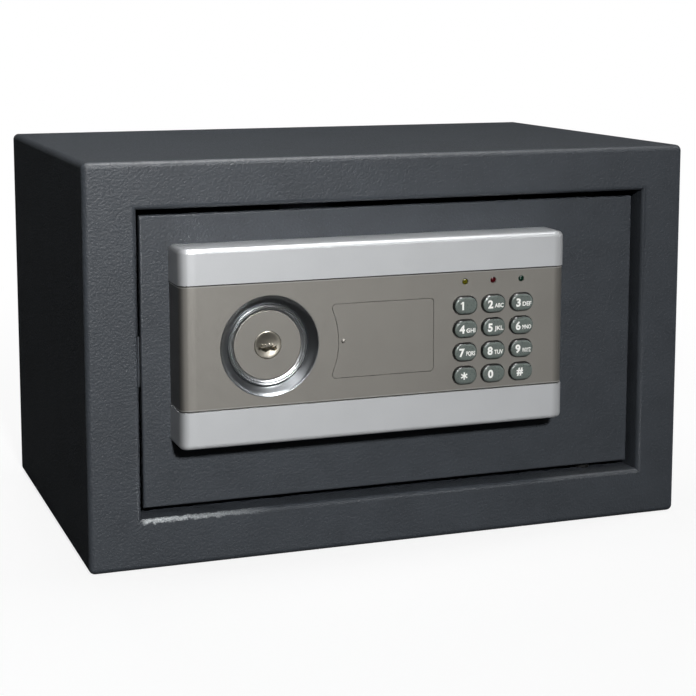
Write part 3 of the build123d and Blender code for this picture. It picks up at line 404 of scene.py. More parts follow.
@dataclass(frozen=True)
class SandPowderCoat(Finish):
    """Epoxy powder coat, sprayed and baked to a fine sand: matt, with pale specks on its grit."""

    speck_pitch: float = 1.7
    speck_colour: str = "#5a5f66"

    def layers(self, ground: Ground) -> list[Layer]:
        """Lay pale specks over the colour.

        Args:
            ground: What the finish is drawn on.

        Returns:
            The shares and colours of its layers, the lowest first.
        """
        cells = {"Vector": ground.place, "Scale": 1 / (self.speck_pitch * MM)}
        distance = add_node(ground.tree, "ShaderNodeTexVoronoi", cells).outputs["Distance"]
        speck = add_node(ground.tree, "ShaderNodeMapRange", {0: distance, 1: 0.04, 2: 0.2, 3: 0.5, 4: 0.0})
        return [*super().layers(ground), (speck.outputs[0], linear(self.speck_colour))]


@dataclass(frozen=True)
class WornPowderCoat(SandPowderCoat):
    """The cabinet's powder coat, rubbed pale on the sill's lower edge at the opening's left end.

    The edge's place and reach are millimetres: the lip's centre line in y and z, and where the wear
    starts and ends in x.
    """

    edge_y: float = -97.2
    edge_z: float = 23.6
    edge_radius: float = 1.7
    wear_start: float = -130.0
    wear_begun: float = -128.0
    wear_full: float = -118.0
    wear_end: float = -66.0
    wave_pitch: float = 2.2
    wave_low: float = -0.7
    wave_high: float = 0.9
    streak_pitch: float = 0.8
    worn_colour: str = "#b4b9bb"

    def near_edge(self, ground: Ground) -> Socket:
        """Find what lies near the lip's edge, with a wavy border.

        Args:
            ground: What the finish is drawn on.

        Returns:
            A share that is one on the edge and falls to zero at its reach.
        """
        tree = ground.tree
        noise = {"Vector": ground.place, "Scale": 1 / (self.wave_pitch * MM), "Detail": 4.0}
        wave = add_node(tree, "ShaderNodeTexNoise", noise).outputs["Fac"]
        span = {0: wave, 1: 0.3, 2: 0.7, 3: self.wave_low * MM, 4: self.wave_high * MM}
        jitter = add_node(tree, "ShaderNodeMapRange", span).outputs[0]
        from_y = add_node(tree, "ShaderNodeMath", {0: ground.y, 1: self.edge_y * MM}, operation="SUBTRACT")
        from_z = add_node(tree, "ShaderNodeMath", {0: ground.z, 1: self.edge_z * MM}, operation="SUBTRACT")
        flat = add_node(tree, "ShaderNodeCombineXYZ", {"Y": from_y.outputs[0], "Z": from_z.outputs[0]})
        length = add_node(tree, "ShaderNodeVectorMath", {0: flat.outputs[0]}, operation="LENGTH")
        distance = length.outputs["Value"]
        wavy = add_node(tree, "ShaderNodeMath", {0: distance, 1: jitter}, operation="ADD").outputs[0]
        reach = self.edge_radius * MM
        fall = {0: wavy, 1: 0.55 * reach, 2: reach, 3: 1.0, 4: 0.0}
        return add_node(tree, "ShaderNodeMapRange", fall).outputs[0]

    def layers(self, ground: Ground) -> list[Layer]:
        """Lay the worn edge over the powder coat.

        Args:
            ground: What the finish is drawn on.

        Returns:
            The shares and colours of its layers, the lowest first.
        """
        tree = ground.tree
        fading = {0: ground.x, 1: self.wear_full * MM, 2: self.wear_end * MM, 3: 1.0, 4: 0.0}
        rising = {0: ground.x, 1: self.wear_start * MM, 2: self.wear_begun * MM}
        scale = 1 / (self.streak_pitch * MM)
        noise = {"Vector": ground.place, "Scale": scale, "Detail": 3.0, "Roughness": 0.8}
        streaks = {0: add_node(tree, "ShaderNodeTexNoise", noise).outputs["Fac"], 1: 0.35, 2: 0.6, 3: 0.3}
        share = self.near_edge(ground)
        for span in (fading, rising, streaks):
            factor = add_node(tree, "ShaderNodeMapRange", span).outputs[0]
            share = add_node(tree, "ShaderNodeMath", {0: share, 1: factor}, operation="MULTIPLY").outputs[0]
        return [*super().layers(ground), (share, linear(self.worn_colour))]


@dataclass(frozen=True)
class NeedleFelt(Finish):
    """Polyester needle felt: matt, with short tangled fibres and a soft sheen."""

    fibre: float = 1.1

    def relief(self, ground: Ground) -> Socket:
        """Draw the fibres' height, from noise that is strongly twisted.

        Args:
            ground: What the finish is drawn on.

        Returns:
            The height.
        """
        scale = 1 / (self.fibre * MM)
        tangle = {"Vector": ground.place, "Scale": scale, "Detail": 6.0, "Roughness": 0.8, "Distortion": 2.5}
        return add_node(ground.tree, "ShaderNodeTexNoise", tangle).outputs["Fac"]


@dataclass(frozen=True)
class SolderMask(Finish):
    """Fibreglass board under green solder mask, with copper tracks that show as paler lines."""

    track: float = 2.4
    track_colour: str = "#4f8f58"

    def layers(self, ground: Ground) -> list[Layer]:
        """Lay the paler tracks over the mask's green.

        Args:
            ground: What the finish is drawn on.

        Returns:
            The shares and colours of its layers, the lowest first.
        """
        scale = 1 / (self.track * MM)
        lines = {"Vector": ground.place, "Scale": scale, "Mortar Size": 0.09, "Brick Width": 3.0}
        tracks = add_node(ground.tree, "ShaderNodeTexBrick", lines).outputs["Fac"]
        return [*super().layers(ground), (tracks, linear(self.track_colour))]


@dataclass(frozen=True)
class CellSleeve(Finish):
    """Shrunk plastic sleeve on a steel cell: dark, with a pale band at each end."""

    low: float = 0.0
    high: float = 100.0
    band: float = 9.0
    band_edge: float = 0.1
    band_colour: str = "#c9a35a"

    def layers(self, ground: Ground) -> list[Layer]:
        """Lay the bands over the ends of the sleeve.

        Args:
            ground: What the finish is drawn on.

        Returns:
            The shares and colours of its layers, the lowest first.
        """
        bands = outside(ground, self.low + self.band, self.high - self.band, self.band_edge)
        return [*super().layers(ground), (bands, linear(self.band_colour))]


@dataclass(frozen=True)
class RolledLacquer(Finish):
    """Lacquer on a moulding whose two ends roll back, with painted shade that darkens them.

    Left and right are the moulding's ends. The lengths are millimetres, and fall is how far an end
    drops as a share of its roll.
    """

    left: float = 0.0
    right: float = 100.0
    left_roll: float = 8.5
    right_roll: float = 6.0
    fall: float = 0.3
    left_band: float = 2.4
    right_band: float = 6.4
    right_full: float = 3.0
    left_painted_shade: float = 0.7
    right_painted_shade: float = 0.72

    def relief(self, ground: Ground) -> Socket:
        """Draw the grain's height with both ends rolled back.

        Args:
            ground: What the finish is drawn on.

        Returns:
            The height.
        """
        tree, height = ground.tree, ground.grain
        for end, roll in ((self.left, self.left_roll), (self.right, -self.right_roll)):
            span = {0: ground.x, 1: (end + roll) * MM, 2: end * MM}
            share = add_node(tree, "ShaderNodeMapRange", span).outputs[0]
            square = add_node(tree, "ShaderNodeMath", {0: share, 1: share}, operation="MULTIPLY").outputs[0]
            drop = {0: square, 1: -self.fall * abs(roll) / self.depth, 2: height}
            height = add_node(tree, "ShaderNodeMath", drop, operation="MULTIPLY_ADD").outputs[0]
        return height

    def layers(self, ground: Ground) -> list[Layer]:
        """Lay painted shade over the lacquer's two ends.

        Args:
            ground: What the finish is drawn on.

        Returns:
            The shares and colours of its layers, the lowest first.
        """
        layers = super().layers(ground)
        # Painted shade: the colour darkens across a band at each end, where the ends roll away from the light
        for start, full, factor in (
            (self.left + self.left_band, self.left, self.left_painted_shade),
            (self.right - self.right_band, self.right - self.right_full, self.right_painted_shade),
        ):
            share = add_node(ground.tree, "ShaderNodeMapRange", {0: ground.x, 1: start * MM, 2: full * MM})
            layers.append((share.outputs[0], self.shade(factor)))
        return layers


@dataclass(frozen=True)
class SeamShadedLacquer(RolledLacquer):
    """Lacquer whose upper and lower edges have a thin dark line of painted shade in the seam, and a thin light
    line of painted highlight inside it.
    """

    low: float = 0.0
    high: float = 100.0
    dark: float = 0.45
    light: float = 0.95
    line_edge: float = 0.08
    painted_shade_colour: str = "#3f3d3a"
    painted_highlight_colour: str = "#a9a7a2"

    def layers(self, ground: Ground) -> list[Layer]:
        """Lay the painted shade and painted highlight lines over the edges of the lacquer.

        Args:
            ground: What the finish is drawn on.

        Returns:
            The shares and colours of its layers, the lowest first.
        """
        layers = super().layers(ground)
        # Painted highlight within the light reach of each edge, then painted shade within the dark reach,
        # nearer the edge
        for reach, line in ((self.light, self.painted_highlight_colour), (self.dark, self.painted_shade_colour)):
            edges = outside(ground, self.low + reach, self.high - reach, self.line_edge)
            layers.append((edges, linear(line)))
        return layers


@dataclass(frozen=True)
class RimShadedKey(Finish):
    """Polished key plastic with painted shade, nearly black, on its rim behind a depth in y."""

    rim: float = -111.28
    rim_edge: float = 0.25
    rim_painted_shade: str = "#0c0e0e"

    def layers(self, ground: Ground) -> list[Layer]:
        """Lay the painted shade over the key's rim.

        Args:
            ground: What the finish is drawn on.

        Returns:
            The shares and colours of its layers, the lowest first.
        """
        # Painted shade on the keys' flanks, where the keys stand proud of the plate
        span = {0: ground.y, 1: self.rim * MM, 2: (self.rim + self.rim_edge) * MM}
        share = add_node(ground.tree, "ShaderNodeMapRange", span).outputs[0]
        return [*super().layers(ground), (share, linear(self.rim_painted_shade))]


class Finishes:
    """Every finish of the safe, each made once and shared."""

    def __init__(
        self, cells: tuple[float, float], plate: tuple[float, float], ends: tuple[float, float]
    ) -> None:
        """Make the materials.

        Args:
            cells: The lowest and highest z of the battery cells, in millimetres.
            plate: The lowest and highest z of the fascia's grey plate, in millimetres.
            ends: The fascia's lowest and highest x, in millimetres.
        """
        self.make_coats()
        self.make_metals()
        self.make_fascia(plate, {"left": ends[0], "right": ends[1]})
        self.make_plastics()
        self.cells = CellSleeve(
            "printed_cell_sleeve", "#1c1d20", 0.3, coat=0.3, low=cells[0], high=cells[1]
        ).build()

    def make_coats(self) -> None:
        """Make the powder coats and the felt."""
        # Epoxy powder coat on steel: a dark blue grey that is matt, with grit that catches light
        sand = {"colour": "#393d42", "roughness": 0.46, "grain": 1.15, "depth": 0.3, "mottle": 0.1}
        self.cabinet_coat = WornPowderCoat("powder_coat_cabinet", specular=0.4, **sand).build()
        self.door_coat = SandPowderCoat("powder_coat_door", specular=0.4, **sand).build()
        # The same kind of coat in black on the cover over the boltwork, a little finer
        self.cover_coat = SandPowderCoat(
            "powder_coat_black", "#1d1e20", 0.55, grain=0.9, depth=0.08, speck_colour="#3a3c40", specular=0.35
        ).build()
        # Needle felt: no gloss, tangled fibres and a soft light at its edges
        self.felt = NeedleFelt(
            "needle_felt", "#26272a", 0.95, grain=0.6, depth=0.5, sheen=0.35, specular=0.1
        ).build()

    def make_metals(self) -> None:
        """Make the steel, chrome, nickel and brass."""
        # Zinc plate on pressed steel: bright grey with a faint drawn grain
        self.zinc = Finish(
            "zinc_plated_steel", "#b4b6b4", 0.36, 1.0, grain=0.7, depth=0.01, mottle=0.07, anisotropic=0.2
        ).build()
        # Steel bar, ground along its length: long fine lines and a narrow gloss
        ground = {"grain": 0.5, "depth": 0.012, "stretch": (0.04, 1, 1), "anisotropic": 0.5}
        self.ground_steel = Finish("ground_steel", "#c3c4c5", 0.24, 1.0, **ground).build()
        # Motor can: drawn steel, with a fine even grain
        self.motor_can = Finish("drawn_steel_can", "#a9abad", 0.3, 1.0, grain=0.6, depth=0.008).build()
        # Chrome plate on ABS: a mirror with a trace of haze
        self.chrome = Finish(
            "chrome_plate", "#d4d6d8", 0.3, 1.0, grain=6.0, depth=0.0005, mottle=0.02, spread=0.01
        ).build()
        # Satin chrome in the lock's funnel: a soft gradient from black to nearly white
        self.satin_chrome = Finish(
            "satin_chrome", "#8f9295", 0.3, 1.0, grain=0.8, depth=0.001, mottle=0.02, spread=0.02
        ).build()
        # Nickel plate on brass: a warm, slightly worn mirror
        self.nickel = Finish(
            "nickel_plated_brass", "#d0cabc", 0.36, 1.0, grain=0.6, depth=0.01, mottle=0.08
        ).build()
        # Brass springs and studs, lightly plated
        self.brass = Finish("plated_brass", "#c9a75c", 0.27, 1.0, grain=0.5, depth=0.006).build()

    def make_fascia(self, plate: tuple[float, float], rolled: dict[str, float]) -> None:
        """Make the fascia's lacquers.

        Args:
            plate: The lowest and highest z of the grey plate, in millimetres.
            rolled: Where the fascia's ends are, as the lacquers take it.
        """
        # ABS under silver lacquer: fine aluminium flake, satin, nearly white where lit, with painted shade on
        # its rolled ends
        silver = {"grain": 0.35, "depth": 0.006, "mottle": 0.025, "spread": 0.04, "coat": 0.15}
        self.silver = RolledLacquer("silver_lacquered_abs", "#cfd1d3", 0.36, 0.3, **silver, **rolled).build()
        # ABS under warm grey lacquer: a fine sprayed grain and a duller gloss
        grey = {"colour": "#96938d", "roughness": 0.4, "metallic": 0.45, "grain": 0.55, "depth": 0.02}
        self.warm_grey = Finish("warm_grey_lacquered_abs", mottle=0.035, **grey).build()
        # The same lacquer on the big plate, with painted shade on its ends and painted shade and highlight
        # lines along its edges beside the silver bands
        shades = {"left_painted_shade": 0.16, "right_painted_shade": 0.55, "low": plate[0], "high": plate[1]}
        self.plate_grey = SeamShadedLacquer(
            "warm_grey_lacquered_plate", mottle=0.035, **shades, **rolled, **grey
        ).build()

    def make_plastics(self) -> None:
        """Make the moulded plastics, the ink, the rubber and the board."""
        # Nylon, dyed black for the washers: dull, so that the hinge gap stays dark
        self.black_nylon = Finish(
            "black_moulded_nylon", "#141414", 0.55, grain=0.8, depth=0.01, specular=0.3
        ).build()
        # Nylon: milky, with a waxy gloss
        self.nylon = Finish("moulded_nylon", "#dedbd0", 0.42, grain=0.8, depth=0.01, mottle=0.03).build()
        # ABS keys, moulded and polished: green grey with a soft gloss, and painted shade on their rims
        self.keys = RimShadedKey(
            "polished_abs_keys", "#626a66", 0.3, grain=0.9, depth=0.008, mottle=0.04, coat=0.25
        ).build()
        # Printed ink: flat white, a little uneven
        self.ink = Finish("white_printed_ink", "#f2f2ee", 0.55, grain=0.3, depth=0.004, mottle=0.02).build()
        # Black ABS with the fine spark texture of its mould
        self.black_abs = Finish(
            "black_moulded_abs", "#17181a", 0.5, grain=0.5, depth=0.03, mottle=0.06
        ).build()
        # Red ABS button, polished
        self.red_abs = Finish("red_moulded_abs", "#b3160f", 0.28, grain=0.8, depth=0.006, coat=0.3).build()
        # Silicone and PVC: grey, dull and soft to the light
        self.rubber = Finish(
            "grey_silicone_rubber", "#4b4d50", 0.7, grain=0.6, depth=0.02, specular=0.3
        ).build()
        # Solder mask on a board: deep green under a thin gloss
        self.board = SolderMask("green_solder_mask", "#0f4a23", 0.3, grain=0.6, depth=0.01, coat=0.2).build()

    @staticmethod
    def lens(name: str, colour: str) -> bpy.types.Material:
        """Return a lamp's coloured epoxy lens: clear, glossy and deep in colour while unlit."""
        clear = {"grain": 0.8, "depth": 0.002, "mottle": 0.03, "coat": 0.5, "transmission": 0.25}
        return Finish(name, colour, 0.12, **clear).build()


@dataclass
class Dresser:
    """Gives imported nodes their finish."""

    nodes: dict[str, bpy.types.Object]

    def dress(self, finish: bpy.types.Material, *names: str) -> None:
        """Give these nodes a finish and smooth their round faces.

        Args:
            finish: The material.
            *names: The nodes' names.
        """
        for name in names:
            node = self.nodes[name]
            node.data.materials.clear()
            node.data.materials.append(finish)
            soften(node)
            log.info("node %s dressed in %s", name, finish.name)


@dataclass
class Cabinet(Dresser):
    """The folded cabinet, its back, hinge doublers and stops, and the felt on its floor.

    The felt's lengths are millimetres. Its ripple is a product of two slow waves, in turns per metre.
    """

    felt_flat: tuple[float, float] = (300.0, 156.0)
    mat_squares: tuple[int, int] = (100, 52)
    mat_corner: float = 2.7
    mat_hole: float = 9.0
    anchor_spacing: float = 150.0
    mat_ripple: float = 0.25
    ripple_turns: tuple[float, float] = (61, 47)
    ripple_start: float = 1.3

    def build(self, finishes: Finishes) -> None:
        """Dress the cabinet and lay the felt."""
        self.dress(finishes.cabinet_coat, "cabinet_shell")
        self.dress(finishes.door_coat, "back_panel", "hinge_plates", "door_stops")
        self.dress(finishes.zinc, "hinge_pins")
        self.lay_felt(finishes)

    def lay_felt(self, finishes: Finishes) -> None:
        """Make the felt mat: a cut sheet with round corners and two holes, slightly uneven.

        Args:
            finishes: The safe's finishes.
        """
        low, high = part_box("floor_mat")
        middle = (low + high) / 2
        columns, rows = self.mat_squares
        bpy.ops.object.select_all(action="DESELECT")
        bpy.ops.mesh.primitive_grid_add(x_subdivisions=columns, y_subdivisions=rows, size=1, location=middle)
        felt = bpy.context.object
        felt.name = "felt_mat"
        felt.scale = (high.x - low.x, high.y - low.y, 1)
        bpy.ops.object.transform_apply(location=True, rotation=True, scale=True)
        self.round_corners(felt, low, high)
        self.punch_holes(felt, middle.z)
        for vertex in felt.data.vertices:
            across, along = vertex.co.x * self.ripple_turns[0], vertex.co.y * self.ripple_turns[1]
            wave = math.sin(across) * math.sin(along + self.ripple_start)
            vertex.co.z += self.mat_ripple * MM * (wave - 1) / 2
        apply_modifier(felt, "SOLIDIFY", thickness=high.z - low.z - self.mat_ripple * MM, offset=0.0)
        finish_piece(felt, finishes.felt, 40)
        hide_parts("floor_mat")
        settle(felt, Body.CABINET)

    def round_corners(self, felt: bpy.types.Object, low: Vector, high: Vector) -> None:
        """Round the sheet's outline by a bevel on its four corner points.

        Args:
            felt: The sheet, one face thick.
            low: The mat's lowest corner.
            high: The mat's highest corner.
        """
        reach = 0.01 * MM
        only(felt)
        bpy.ops.object.mode_set(mode="EDIT")
        bpy.ops.mesh.select_mode(type="VERT")
        bpy.ops.mesh.select_all(action="DESELECT")
        bpy.ops.object.mode_set(mode="OBJECT")
        for vertex in felt.data.vertices:
            at_x = min(abs(vertex.co.x - low.x), abs(vertex.co.x - high.x)) < reach
            at_y = min(abs(vertex.co.y - low.y), abs(vertex.co.y - high.y)) < reach
            vertex.select = at_x and at_y
        bpy.ops.object.mode_set(mode="EDIT")
        bpy.ops.mesh.bevel(offset=self.mat_corner * MM, segments=6, affect="VERTICES")
        bpy.ops.object.mode_set(mode="OBJECT")

    def punch_holes(self, felt: bpy.types.Object, z: float) -> None:
        """Punch the sheet over the two base bolts.

        Args:
            felt: The sheet.
            z: Its height.
        """
        for side in (-1, 1):
            x = side * self.anchor_spacing / 2 * MM
            bpy.ops.mesh.primitive_cylinder_add(
                vertices=64, radius=self.mat_hole * MM, depth=20 * MM, location=(x, 0, z)
            )
            cut(felt, bpy.context.object)


@dataclass
class Door(Dresser):
    """The door plate with its hinge blocks, and the cover over the boltwork with its screws."""

    screw_head: float = 3.5
    screw_shank: float = 1.65
    screw_rise: float = 2.2
    screw_tip: float = 0.5
    head_turns: tuple[float, ...] = (0.0, 0.5, 0.9, 1.25)
    cross_length: float = 4.2
    cross_width: float = 0.85
    cross_depth: float = 1.3
    edge_bevel: float = 0.12

    def build(self, finishes: Finishes) -> None:
        """Dress the door and make its screws."""
        self.dress(finishes.door_coat, "door_plate", "hinge_blocks")
        self.dress(finishes.cover_coat, "lock_cover")
        self.dress(finishes.black_nylon, "hinge_washers")
        self.dress(finishes.nylon, "bolt_bushes")
        self.make_screws(finishes)

    def make_screws(self, finishes: Finishes) -> None:
        """Turn one pan head screw, cut its cross recess, and copy it to the cover's corners.

        Args:
            finishes: The safe's finishes.
        """
        low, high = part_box("cover_screws")
        head, rise, shank = self.screw_head * MM, self.screw_rise * MM, self.screw_shank * MM
        left, bottom, seat = low.x + head, low.z + head, high.y - rise
        profile = [(shank * 0.6, low.y), (shank, low.y + self.screw_tip * MM), (shank, seat), (head, seat)]
        for turn in self.head_turns:
            profile.append((head * math.cos(turn), seat + rise * (0.3 + 0.7 * math.sin(turn))))
        profile.append((0, high.y))
        screw = turned("cover_screw", (left, bottom), profile, 40, filled=True)
        for size in ((self.cross_length, self.cross_width), (self.cross_width, self.cross_length)):
            bpy.ops.object.select_all(action="DESELECT")
            bpy.ops.mesh.primitive_cube_add(size=1, location=(left, high.y, bottom))
            driver = bpy.context.object
            driver.scale = (size[0] * MM, 2 * self.cross_depth * MM, size[1] * MM)
            bpy.ops.object.transform_apply(location=True, rotation=True, scale=True)
            cut(screw, driver)
        edges = {"limit_method": "ANGLE", "angle_limit": math.radians(50)}
        apply_modifier(screw, "BEVEL", width=self.edge_bevel * MM, segments=2, **edges)
        across, up = high.x - low.x - 2 * head, high.z - low.z - 2 * head
        places = [Vector((x, 0, z)) for x in (0, across) for z in (0, up)]
        screws = copies(screw, places, "cover_screw_set")
        finish_piece(screws, finishes.zinc, 35)
        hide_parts("cover_screws")
        settle(screws, Body.DOOR)


@dataclass
class Boltwork(Dresser):
    """The bolts, their bar and drive, and the boards and wires under the cover."""

    def build(self, finishes: Finishes) -> None:
        """Dress the boltwork."""
        self.dress(finishes.ground_steel, "bolts")
        self.dress(finishes.zinc, "bolt_bar", "bolt_screws", "guide_studs", "motor_bracket", "crank")
        self.dress(finishes.zinc, "lock_cam", "cam_screw", "lock_nut", "fascia_screws")
        self.dress(finishes.motor_can, "motor")
        self.dress(finishes.nylon, "gearbox")
        self.dress(finishes.board, "control_board", "keypad_board")
        self.dress(finishes.black_abs, "board_components", "limit_switch", "reset_switch")
        self.dress(finishes.rubber, "ribbon_cable", "wire_leads", "cable_grommet", "keypad_mat")
        self.dress(finishes.red_abs, "reset_button")


@dataclass
class PowerPack(Dresser):
    """The battery tray with its cells, contacts and lid."""

    def build(self, finishes: Finishes) -> None:
        """Dress the power pack."""
        self.dress(finishes.black_abs, "battery_tray", "battery_lid")
        self.dress(finishes.cells, "batteries")
        self.dress(finishes.brass, "battery_contacts", "power_contacts")


@dataclass
class Fascia(Dresser):
    """The silver housing, its warm grey plate and cover, and the three lamps."""

    lamp_radius: float = 1.5
    lamp_dome: float = 0.8
    lamp_sides: int = 32
    dome_steps: int = 6

    def build(self, finishes: Finishes) -> None:
        """Dress the fascia and make its lamps."""
        self.dress(finishes.silver, "fascia_housing")
        self.dress(finishes.plate_grey, "fascia_plate")
        self.dress(finishes.warm_grey, "cover_plate")
        self.make_lamps(finishes)

    def make_lamps(self, finishes: Finishes) -> None:
        """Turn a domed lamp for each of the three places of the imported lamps.

        Args:
            finishes: The safe's finishes.
        """
        low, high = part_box("status_leds")
        radius = self.lamp_radius * MM
        dome = radius * self.lamp_dome
        z = (low.z + high.z) / 2
        lamps = {"lamp_yellow": "#5f5c10", "lamp_red": "#4a050d", "lamp_green": "#06281c"}
        places = (low.x + radius, (low.x + high.x) / 2, high.x - radius)
        shoulder = low.y + dome
        for (name, colour), x in zip(lamps.items(), places):
            profile = [(radius, high.y), (radius, shoulder)]
            for step in range(1, self.dome_steps):
                turn = step * math.pi / (2 * self.dome_steps)
                profile.append((radius * math.cos(turn), shoulder - dome * math.sin(turn)))
            profile.append((0, low.y))
            lamp = turned(name, (x, z), profile, self.lamp_sides, filled=True)
            finish_piece(lamp, finishes.lens(f"epoxy_{name}", colour), 40)
            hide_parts("status_leds")
            settle(lamp, Body.DOOR)


@dataclass
class Keypad(Dresser):
    """Twelve moulded keys, each with its printed legend.

    Sizes and shifts are millimetres. A lone digit, a sign, and a digit with letters each have their own
    place on the key.
    """

    digit_size: float = 5.4
    hash_size: float = 5.13
    letter_size: float = 2.9
    digit_shift: float = -2.25
    lone_shift: float = -1.85
    sign_shift: float = -1.05
    letter_width: float = 4.7
    letter_drop: float = 0.7
    digit_weight: float = 0.21
    letter_weight: float = 0.07
    ink_height: float = 0.03
    star_size: float = 3.7
    star_stroke: float = 0.68
    flag_length: float = 1.3
    flag_stroke: float = 0.45
    flag_turn: float = 0.75
    flag_left: float = 0.32
    flag_drop: float = 0.75

    def build(self, finishes: Finishes) -> None:
        """Dress the keys and print their legends."""
        groups = ["ABC", "DEF", "GHI", "JKL", "MNO", "PQRS", "TUV", "WXYZ"]
        letters = {str(digit): group for digit, group in enumerate(groups, start=2)}
        signs = {"star": "*", "hash": "#"}
        for key in [*"1234567890", *signs]:
            self.dress(finishes.keys, f"key_{key}")
            self.print_legend(finishes, key, signs.get(key, key), letters.get(key, ""))

    def word(self, text: str, size: float, weight: float, place: Vector) -> bpy.types.Object:
        """Make raised flat letters on a key's front.

        Args:
            text: What they say.
            size: The letters' size in millimetres.
            weight: How much their strokes are widened, in millimetres.
            place: The word's left edge, the y of the key's front, and the word's middle height.

        Returns:
            The word as a mesh.
        """
        bpy.ops.object.select_all(action="DESELECT")
        bpy.ops.object.text_add(rotation=(math.pi / 2, 0, 0))
        word = bpy.context.object
        word.data.body = text
        word.data.size = size * MM
        word.data.offset = weight * MM
        word.data.extrude = self.ink_height * MM
        word.data.resolution_u = 4
        bpy.ops.object.convert(target="MESH")
        bpy.ops.object.transform_apply(location=True, rotation=True, scale=True)
        corners = [vertex.co for vertex in word.data.vertices]
        left = min(corner.x for corner in corners)
        centre = (min(corner.z for corner in corners) + max(corner.z for corner in corners)) / 2
        word.location = (place.x - left, place.y, place.z - centre)
        bpy.ops.object.transform_apply(location=True, rotation=True, scale=True)
        return word

    def star(self, place: Vector) -> bpy.types.Object:
        """Make a six-armed star from three crossed strokes.

        Args:
            place: The end of its left arm, at the key's front and the star's middle height.

        Returns:
            The star.
        """
        width, thick = self.star_size * MM, self.star_stroke * MM
        middle = (place.x + width / 2, place.y, place.z)
        strokes = []
        for turn in (math.pi / 2, math.pi / 6, -math.pi / 6):
            bpy.ops.object.select_all(action="DESELECT")
            bpy.ops.mesh.primitive_cube_add(size=1, location=middle, rotation=(0, turn, 0))
            stroke = bpy.context.object
            # Each stroke is a little higher than the last, so that no two fronts lie in one plane
            stroke.scale = (width, 2 * self.ink_height * MM * (1 + 0.05 * len(strokes)), thick)
            strokes.append(stroke)
        only(*strokes)
        bpy.ops.object.transform_apply(location=True, rotation=True, scale=True)
        bpy.ops.object.join()
        return strokes[0]

    def flag(self, digit: bpy.types.Object) -> bpy.types.Object:
        """Make the slanted stroke at the top of the figure one.

        Args:
            digit: The figure, in its place.

        Returns:
            The stroke.
        """
        corners = [digit.location + vertex.co for vertex in digit.data.vertices]
        left, top = min(corner.x for corner in corners), max(corner.z for corner in corners)
        middle = (left - self.flag_left * MM, corners[0].y, top - self.flag_drop * MM)
        bpy.ops.object.select_all(action="DESELECT")
        bpy.ops.mesh.primitive_cube_add(size=1, location=middle, rotation=(0, -self.flag_turn, 0))
        stroke = bpy.context.object
        stroke.scale = (self.flag_length * MM, 2 * self.ink_height * MM, self.flag_stroke * MM)
        bpy.ops.object.transform_apply(location=True, rotation=True, scale=True)
        return stroke

    def letter_group(self, letters: str, place: Vector) -> bpy.types.Object:
        """Make a key's letters, drawn in or out to one width.

        Args:
            letters: What they say.
            place: Their left edge, the y of the key's front, and the key's middle height.

        Returns:
            The letters.
        """
        lower = place - Vector((0, 0, self.letter_drop * MM))
        group = self.word(letters, self.letter_size, self.letter_weight, lower)
        fit = self.letter_width * MM / group.dimensions.x
        only(group)
        bpy.ops.transform.resize(value=(fit, 1, 1), center_override=place)
        bpy.ops.object.transform_apply(location=True, rotation=True, scale=True)
        return group

    def print_legend(self, finishes: Finishes, key: str, sign: str, letters: str) -> None:
        """Print a key's sign, and its letters where it has them.

        Args:
            finishes: The safe's finishes.
            key: The key's name.
            sign: Its digit or sign.
            letters: Its letters, or nothing.
        """
        low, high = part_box(f"key_{key}")
        place = Vector(((low.x + high.x) / 2, low.y, (low.z + high.z) / 2))
        if sign == "*":
            digit = self.star(place)
        else:
            size = self.digit_size if sign.isdigit() else self.hash_size
            digit = self.word(sign, size, self.digit_weight, place)
        lone = self.lone_shift if sign.isdigit() else self.sign_shift
        digit.location.x = (self.digit_shift if letters else lone) * MM - digit.dimensions.x / 2
        parts = [digit]
        if letters:
            parts.append(self.letter_group(letters, place))
        if sign == "1":
            parts.append(self.flag(digit))
        only(*parts)
        if len(parts) > 1:
            bpy.ops.object.join()
        legend = parts[0]
        legend.name = f"legend_{key}"
        legend.data.materials.clear()
        legend.data.materials.append(finishes.ink)
        only(legend)
        bpy.ops.object.transform_apply(location=True, rotation=True, scale=True)
        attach(legend, f"key_{key}")
        log.info("piece %s rides on key_%s", legend.name, key)


